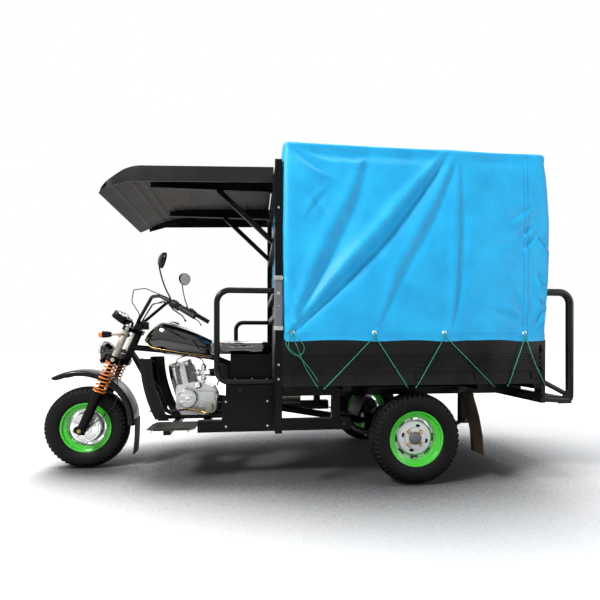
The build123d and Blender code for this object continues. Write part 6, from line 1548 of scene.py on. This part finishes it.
# %% Carburettor, plug and hoses
carb = at(1.300, 34 * MM, 0.632)
venturi = lathe(mm([(0, -42), (24, -42), (24, -30), (21, -26), (21, 26), (24, 30), (24, 42), (0, 42)]), 40)
float_bowl = lathe(mm([(0, -52), (14, -51), (19, -46), (19, -22), (23, -21), (23, -16), (19, -15), (16, 0),
    (0, 0)]), 40)
inlet = tube(through([carb + (38 * MM, 0, 0), carb + mm(62, -10, 6), on_barrel(-40 * MM, 0, 152 * MM)], 8),
    17 * MM, 24)
make("carburettor_body", join(placed(venturi, carb, out=(1, 0, 0)), placed(float_bowl, carb), inlet),
    "polished_cover")
dash_pot = lathe(mm([(17, 0), (17, 30), (19, 31), (19, 38), (12, 41), (6, 48), (0, 48)]), 32)
flange = lathe(mm([(29, 0), (29, 5), (24, 6.5), (24, 12), (0, 12)]), 32)
drain_nut = lathe(mm([(0, 0), (5, 0), (5, 9), (0, 9)]), 6)
drain = join(drain_nut, lathe(mm([(0, -6), (3, -6), (3, 0), (0, 0)]), 12))
make("carburettor_trim", join(placed(dash_pot, carb + (0, 0, 16 * MM)),
    placed(flange, carb + (40 * MM, 0, 0), out=(-1, 0, 0)),
    placed(flange, carb - (42 * MM, 0, 0), out=(1, 0, 0)),
    placed(drain, carb - mm(0, -12, 56)), bar(carb + mm(0, 20, 4), carb + mm(0, 34, 4), 9 * MM, 9 * MM),
    placed(m6_head, *(carb + (a * MM, 15 * MM, -26 * MM) for a in (-12, 12)), out=(0, 1, 0))),
    "polished_cover")
boot = ridged(64 * MM, 24 * MM, 29 * MM, 6)
make("intake_boot", join(placed(lathe(boot, 32), carb - (44 * MM, 0, 0), out=(-1, 0, 0.1)),
    placed(pillow(*mm(96, 120, 92, 16, 9)), carb - mm(108, 4, -6), out=(-1, 0, 0.05))), "moulded_plastic")
plug_place = on_barrel(*mm(22, 66, 138))
plug_lead = through([plug_place + mm(0, 22, 6), plug_place + mm(14, 40, 20), plug_place + mm(0, 30, 62),
    at(1.40, 20 * MM, 0.752), at(1.32, 0, 0.765)], 10)
hose_paths = (([carb + mm(0, 14, 62), carb + mm(10, 30, 92), at(1.36, 30 * MM, 0.742)], 3.6),
    ([carb - mm(6, -16, 58), carb - mm(10, -24, 96), at(1.262, 50 * MM, 0.40)], 3.0),
    ([at(1.21, 40 * MM, 0.545), at(1.19, 70 * MM, 0.60), at(1.17, 60 * MM, 0.70)], 5.0),)
make("engine_hoses", join(tube(plug_lead, 3.4 * MM, 10),
    placed(lathe(mm([(0, 0), (8, 0), (9, 6), (7, 24), (4, 27), (0, 27)]), 20), plug_place, out=(0, 1, 0.25)),
    *(tube(through(points, 10), radius * MM, 10) for points, radius in hose_paths)), "grip_rubber")
red_wire = through([at(1.60, 30 * MM, 0.776), at(1.50, 70 * MM, 0.752), at(1.42, 74 * MM, 0.748),
    at(1.30, 66 * MM, 0.738), at(1.24, 40 * MM, 0.72)], 10)
make("red_wire", tube(red_wire, 1.7 * MM, 8), "red_lens")

# %% Gear lever and brake pedal
shaft_ahead, shaft_height = 1.300, 0.384
lever_path = bent([at(shaft_ahead, 92 * MM, shaft_height), at(shaft_ahead, 147 * MM, shaft_height),
    at(1.390, 152 * MM, 0.402), at(1.470, 235 * MM, 0.404)], 12 * MM)
heel_path = bent([at(1.306, 147 * MM, 0.386), at(1.262, 170 * MM, 0.374), at(1.240, 214 * MM, 0.378)],
    10 * MM)
arm_path = through([at(1.240, 98 * MM, 0.425), at(1.236, 104 * MM, 0.400), at(1.240, 110 * MM, 0.372)], 8)
pedal_ahead, pedal_out = 1.500, -190 * MM
brake_path = bent([at(1.450, -92 * MM, 0.395), at(1.450, -137 * MM, 0.395),
    at(pedal_ahead, pedal_out, 0.400)], 12 * MM)
toe_ball = lathe(mm([(0, -9), (7, -6), (9, 0), (7, 6), (0, 9)]), 24)
clamp_ring = lathe(mm([(0, 0), (13, 0), (13, 14), (0, 14)]), 28)
make("pedal_levers", join(placed(toe_ball, at(1.474, 0.240, 0.404)), tube(lever_path, 6.4 * MM, 14),
    tube(heel_path, 5.4 * MM, 14), tube(arm_path, 6 * MM, 12), tube(brake_path, 7 * MM, 14),
    placed(clamp_ring, at(shaft_ahead, 126 * MM, shaft_height), out=(0, 1, 0))), "brass",
    replaces=("foot_controls",))
pad = placed(lathe(ridged(46 * MM, 7.4 * MM, 9.4 * MM, 7), 20), at(1.452, 212 * MM, 0.404),
    out=(0.55, 0.8, 0.0))
heel_pad = placed(lathe(ridged(34 * MM, 6.6 * MM, 8.6 * MM, 5), 20), at(1.247, 196 * MM, 0.377),
    out=(-0.35, 0.9, 0.1))
brake_pad = placed(pillow(*mm(52, 34, 12, 8, 3)), at(pedal_ahead, pedal_out, 0.402), out=(0, 0, 1))
make("pedal_rubbers", join(pad, heel_pad, brake_pad), "grip_rubber")
# %% [markdown]
# ## Rider's seat
# The seat is a foam cushion in black vinyl, still in the clear wrap it was delivered in. It is a crowned
# form: the sides pull in between the corners, the top swells, a welded channel goes round its shoulder, and
# the wrap lies over it in fine creases. The creases are folded bands of noise, sharp along their ridges.

# %% Seat cushion
seat_low, seat_high = (np.array(corner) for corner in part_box("rider_seat"))
seat_middle = (seat_low + seat_high) / 2


def crease(x, y, scale, seed, sharp=3.0, waves=7):
    """Ridges where a slow field of mixed sine waves passes zero: (1 - |field|) to a power."""
    draw = np.random.default_rng(seed)
    field = np.zeros(np.broadcast(x, y).shape)
    for wave in range(waves):
        turn, phase, stretch = draw.uniform(0, 2 * np.pi), draw.uniform(0, 2 * np.pi), draw.uniform(0.6, 1.7)
        field = field + np.sin((x * np.cos(turn) + y * np.sin(turn)) * stretch * scale + phase)
    return (1 - np.clip(np.abs(field) / 3.0, 0, 1)) ** sharp


def cushion(low, high, corner, pull, steps=(64, 150)):
    """A crowned pad: a rounded outline, sides pulled in between corners, top raised towards the middle."""
    middle = (low + high) / 2
    length, width, height = high - low
    corners = rounded_box(length, width, corner, 8)
    outline = evenly(through(np.concatenate([corners, corners[:1]]), 2), steps[1], False)
    # the section from the foot to the middle of the top: share outward, share upward
    side = through([(0.965, 0.0), (0.985, 0.06), (1.0, 0.3), (1.0, 0.52), (0.985, 0.68), (0.96, 0.715),
        (0.955, 0.745), (0.94, 0.84), (0.87, 0.92), (0.7, 0.965), (0.4, 0.99), (0.0, 1.0)], steps[0] // 11)
    outward, upward = side[:, :1], side[:, 1:]
    # 1 in the middle of a side, 0 at its corners; the short sides are pulled in less
    shares = np.clip(np.abs(outline) / (length, width) * 2, 0, 1)
    between = (np.cos(shares * np.pi / 2) ** 2 * (1, 0.6)).max(1)
    swell = np.sin(np.clip(upward / 0.7, 0, 1) * np.pi)
    drawn = 1 - pull * between / np.hypot(*outline.T) * (1 - swell * 0.7)
    x = middle[0] + outline[None, :, 0] * outward * drawn
    y = middle[1] + outline[None, :, 1] * outward * drawn
    z = low[2] + height * upward + 0 * x
    return np.stack([x, y, z], -1)


side_gap = np.array([0, 4 * MM, 0])
wrap_relief, foot_height = 7 * MM, 20 * MM
pad_points = cushion(seat_low + side_gap, seat_high - side_gap, corner=60 * MM, pull=14 * MM)
pad_x, pad_y, pad_z = pad_points[..., 0], pad_points[..., 1], pad_points[..., 2]
folds = crease(pad_x, pad_y + pad_z, 26.0, 5, 6.0) + 0.6 * crease(pad_x + pad_z, pad_y, 55.0, 11, 4.0)
held = np.clip((pad_z - seat_low[2]) / foot_height, 0, 1)
drop = (folds * wrap_relief * held)[..., None]
inward = pad_points - seat_middle * (1, 1, 0) - np.array([0, 0, seat_low[2]])
inward = inward / np.maximum(np.linalg.norm(inward, axis=-1, keepdims=True), 1 * MM)
pad_points = pad_points - inward * (wrap_relief - drop) * (1, 1, 0.9)
pad_points[..., 2] = np.maximum(pad_points[..., 2], seat_low[2])
cushion_piece = make("seat_cushion", rings(pad_points, True, False), "wrapped_vinyl",
    replaces=("rider_seat",), sharp=70)
print("seat", np.round(seat_high - seat_low, 3))

# %% [markdown]
# ## Roof lining
# From the side the roof is seen from below. Its inside is a vacuum-formed liner in matt brownish black: two
# ribs run along the front, shorter ribs cross it, and a framed panel is raised in the middle. The liner is
# one grid under the roof's sheet, and its relief is a sum of rounded ridges, exp(-(distance / width)^2).

# %% Liner
roof_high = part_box("cab_roof")[1]
liner_half = roof_high[1] - 7 * MM
rear_x, bend_x, tip_x = at(0.852, 0, 0)[0], at(1.665, 0, 0)[0], roof_high[0] - 9 * MM
liner_line = evenly(bent([(rear_x, 0, 1.8765), (bend_x, 0, 1.8485), (tip_x, 0, 1.716)], 230 * MM), 120)
across = np.linspace(-1, 1, 96)
share = np.linspace(0, 1, len(liner_line))[:, None]
corner_pull = 1 - 0.1 * np.clip((share - 0.86) / 0.14, 0, 1) ** 2.2
side_y = across[None] * liner_half * corner_pull


def ridge(distance, width):
    """A rounded ridge of height 1 along the line where distance is 0."""
    return np.exp(-(distance / width) ** 2)


edge = np.abs(side_y)
front_lines = ridge(share - 0.90, 0.006) + ridge(share - 0.80, 0.006) + ridge(share - 0.74, 0.006)
cross_ribs = sum(ridge(share - place, 0.008) for place in (0.08, 0.16, 0.24, 0.56, 0.62, 0.68))
cross_ribs = cross_ribs * step(edge, 0.16, 0.03) * (1 - step(edge, 0.43, 0.03))
frame_x, frame_y = np.abs(share - 0.40) - 0.12, edge - 0.24
panel = ridge(np.maximum(frame_x * 1.05, frame_y), 8 * MM)
side_lines = ridge(edge - 0.452, 5 * MM) * (1 - step(share, 0.9, 0.02))
relief_down = (front_lines + cross_ribs + panel + side_lines) * 7 * MM
liner_points = np.stack([np.broadcast_to(liner_line[:, :1], side_y.shape), side_y,
    liner_line[:, 2:] - 2 * MM - relief_down], -1)
liner = make("roof_liner", grid(liner_points[:, ::-1]), "roof_inside", closed=False, sharp=70)
liner_skin = liner.modifiers.new("formed sheet", "SOLIDIFY")
liner_skin.thickness = 1.6 * MM
liner_skin.offset = -1

# %% [markdown]
# ## Rider's place
# Footboards of chequer plate, the bolts of the leg shields, side panels and headboard, and the grey sleeve
# on the corner post with its clamp. A lozenge of chequer plate is a low four-sided hump; the lozenges stand
# in rows, turned to and fro by 45 degrees.


# %% Chequer plate and bolts
def lozenges(count_along, count_across, pitch, length=17 * MM, width=5 * MM, height=1.1 * MM):
    """Lozenges on a plane facing +Z, in a grid of the pitch, each turned 45 degrees from its neighbours."""
    angle = np.linspace(0, 2 * np.pi, 8, endpoint=False)
    outline = np.stack([np.cos(angle) * length / 2, np.sin(angle) * width / 2], -1)
    outline[1::2] *= 0.82
    hump = prism(outline, [(1, -0.3 * MM), (1, 0), (0.55, height), (0.3, height * 1.1)])
    shapes = []
    rows = (np.arange(count_along) - (count_along - 1) / 2) * pitch
    columns = (np.arange(count_across) - (count_across - 1) / 2) * pitch
    for tone in (0, 1):
        turn = np.radians(45 if tone else -45)
        up = (-np.sin(turn), np.cos(turn), 0)
        spots = [(x, y, 0) for i, x in enumerate(rows) for j, y in enumerate(columns) if (i + j) % 2 == tone]
        shapes.append(placed(hump, *spots, out=(0, 0, 1), up=up))
    return join(*shapes)


board_centre = at(1.446, 0.3375, 0.3317)
board_plate = placed(lozenges(14, 13, 19.5 * MM), board_centre, board_centre * (1, -1, 1), out=(0, 0, 1),
    up=(0, 1, 0))
make("footboard_chequers", board_plate, "spring_steel", sharp=30)
# how far out each bolted face is, and how far ahead the headboard's post and the arm rail's foot are
panel_face, board_face, box_face, post_face, arm_face = 0.415, 0.471, 0.421, 0.641, 0.518
board_edge_height, box_bolt_height, post_ahead, arm_ahead = 0.323, 0.62, 0.82, 0.83
panel_bolts = [at(ahead, panel_face, up) for ahead in (0.875, 1.125) for up in (0.335, 0.485)]
board_bolts = [at(ahead, board_face, board_edge_height) for ahead in (1.34, 1.55)]
box_bolts = [at(ahead, box_face, box_bolt_height) for ahead in (0.88, 0.97, 1.07)]
post_bolts = [at(post_ahead, post_face, up) for up in (0.64, 0.72, 1.05, 1.60)]
arm_bolts = [at(arm_ahead, arm_face, up) for up in (1.135, 0.625)]
left_bolts = panel_bolts + board_bolts + box_bolts + post_bolts + arm_bolts
shield_out = 0.15
shield_bolts = [at(ahead, side * shield_out, up) for ahead, up in ((1.676, 0.70), (1.686, 0.66))
                for side in (1, -1)]
make("cab_bolts", join(placed(m6_head, *left_bolts, out=(0, 1, 0)),
    placed(m6_head, *(place * (1, -1, 1) for place in left_bolts), out=(0, -1, 0)),
    placed(m8_head, *shield_bolts, out=(1, 0, 0))), "zinc_plate")
sleeve = prism(rounded_box(46 * MM, 46 * MM, 7 * MM, 4), [(1, 0), (1, 300 * MM)])
sleeve_clamp = prism(rounded_box(52 * MM, 54 * MM, 8 * MM, 4), [(0.98, 0), (1, 1.5 * MM), (1, 20 * MM),
    (0.98, 21.5 * MM)])
sleeve_foot = at(post_ahead, 0.6195, 0.92)
make("post_sleeve", placed(sleeve, sleeve_foot, out=(0, 0, 1)), "grey_plastic")
make("post_clamps", join(placed(sleeve_clamp, sleeve_foot + (0, 0, 0.276), sleeve_foot + (0, 0, -0.006)),
    placed(m8_head, sleeve_foot + (0, 0.027, 0.287), sleeve_foot + (0, 0.024, 0.2), out=(0, 1, 0))),
    "zinc_plate")
# %% [markdown]
# ## Bed, rear guard and running gear
# The bed's lower rail is chequer plate. Hooks for the lashing cord hang along it, the guard has corner
# plates, the tail lamps have lenses in a black case, and the leaf springs are held by U-bolts to the axle.

# %% Bed rail and hooks
bed_side_face = 632 * MM
rail_height, hook_height, top_edge_height = 0.629, 0.648, 0.845
rail_plate = lozenges(80, 3, 19 * MM, length=15 * MM)
rail_centre = at(0.02, bed_side_face, rail_height)
make("bed_chequers", join(placed(rail_plate, rail_centre, out=(0, 1, 0), up=(0, 0, 1)),
    placed(rail_plate, rail_centre * (1, -1, 1), out=(0, -1, 0), up=(0, 0, 1))), "bed_enamel", sharp=30)
hook_stations = (0.74, 0.38, 0.02, -0.34, -0.70)
hook_rod = tube(bent(mm([(0, -2, 14), (0, 14, 14), (0, 14, -14), (0, 6, -20)]), 5 * MM), 3 * MM, 10)
hook_plate = pillow(*mm(34, 30, 4, 6, 1.4))
hook_shapes = []
for side in (1, -1):
    for ahead in hook_stations:
        place = at(ahead, side * (bed_side_face + 1 * MM), hook_height)
        rod = (hook_rod[0] * (1, side, 1) + place, hook_rod[1])
        hook_shapes += [rod, placed(hook_plate, place, out=(0, side, 0), up=(0, 0, 1))]
make("bed_hooks", join(*hook_shapes), "tube_enamel", sharp=45)
# rows of bolts along the top edge, up the rear post and along the chassis rail
rear_post_ahead, rear_post_face, chassis_face, chassis_height = -0.774, 0.641, 0.411, 0.555
bed_bolts = [at(ahead, bed_side_face, top_edge_height)
             for ahead in np.linspace(hook_stations[-1], hook_stations[0], 7)]
bed_bolts += [at(rear_post_ahead, rear_post_face, up) for up in (0.52, 0.60, 0.68, 0.80)]
bed_bolts += [at(ahead, chassis_face, chassis_height) for ahead in (-0.735, -0.38, 0.0, 0.43, 0.77, 1.042)]
make("bed_bolts", join(placed(m10_head, *bed_bolts, out=(0, 1, 0)),
    placed(m10_head, *(place * (1, -1, 1) for place in bed_bolts), out=(0, -1, 0))), "tube_enamel")

# %% Guard corners and tail lamps
corner_leg, corner_end, corner_thick = 88, 20, 4 * MM
corner_outline = mm((0, 0), (corner_leg, 0), (corner_leg, corner_end), (corner_end, corner_leg),
    (0, corner_leg))
corner_plate = prism(corner_outline, [(1, 0), (1, corner_thick)])
guard_x, guard_out, guard_foot = at(-0.9785, 0, 0)[0], 618 * MM, 0.470
guard_plates = []
for side in (1, -1):
    plate_place = np.array([guard_x, side * guard_out, guard_foot])
    shape = placed(corner_plate, (0, 0, 0), out=(0, -1, 0), up=(0, 0, 1))
    guard_plates.append((shape[0] * (1, side, 1) + plate_place, shape[1]))
make("guard_plates", join(*guard_plates), "tube_enamel")
lamp_low, lamp_high = (np.array(corner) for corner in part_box("tail_lamps"))
lamp_out, lamp_set, case_depth, lens_offset = 480 * MM, 34 * MM, 26, 28 * MM
lamp_case = pillow(*mm(118, 48, case_depth, 8, 3))
lens_half = pillow(*mm(52, 40, 9, 6, 3))
cases, red_halves, amber_halves = [], [], []
for side in (1, -1):
    case_place = np.array([lamp_low[0] + lamp_set, side * lamp_out, (lamp_low[2] + lamp_high[2]) / 2])
    cases.append(placed(lamp_case, case_place, out=(-1, 0, 0), up=(0, 0, 1)))
    face, outer = case_place - (case_depth * MM, 0, 0), np.array([0, side * lens_offset, 0])
    red_halves.append(placed(lens_half, face - outer, out=(-1, 0, 0), up=(0, 0, 1)))
    amber_halves.append(placed(lens_half, face + outer, out=(-1, 0, 0), up=(0, 0, 1)))
make("tail_lamp_cases", join(*cases), "moulded_plastic", replaces=("tail_lamps",))
make("tail_lamp_lenses_red", join(*red_halves), "red_lens")
make("tail_lamp_lenses_amber", join(*amber_halves), "amber_lens")

# %% Spring U-bolts and hangers
spring_out, bolt_ahead, leg_out = 0.385, 0.038, 31 * MM
leg_foot, leg_top, eye_ahead, eye_out, eye_height = 0.205, 0.318, 0.400, 0.421, 0.340
u_bolts = []
for side in (1, -1):
    for ahead in (-bolt_ahead, bolt_ahead):
        foot = at(ahead, side * spring_out, 0.0)
        legs = [foot + (0, across * leg_out, up)
                for across, up in ((-1, leg_foot), (-1, leg_top), (1, leg_top), (1, leg_foot))]
        u_bolts.append(tube(bent(legs, 10 * MM), 5 * MM, 12))
        u_bolts.append(placed(m10_head, legs[3], legs[0], out=(0, 0, -1)))
    plate_place = at(0, side * spring_out, leg_foot + 1 * MM)
    u_bolts.append(placed(pillow(*mm(104, 84, 8, 8, 2)), plate_place, out=(0, 0, 1), up=(0, 1, 0)))
    for ahead in (eye_ahead, -eye_ahead):
        u_bolts.append(placed(m10_head, at(ahead, side * eye_out, eye_height), out=(0, side, 0)))
make("spring_bolts", join(*u_bolts), "spring_steel", sharp=45)

# %% Block behind the upper clamp
block_height = 52
block = pillow(*mm(46, 60, block_height, 10, 4))
block_foot = at(1.706, 0, 0.955 - block_height / 2 * MM)
make("key_block", placed(block, block_foot, out=(0, 0, 1), up=(1, 0, 0)), "moulded_plastic", "steering")
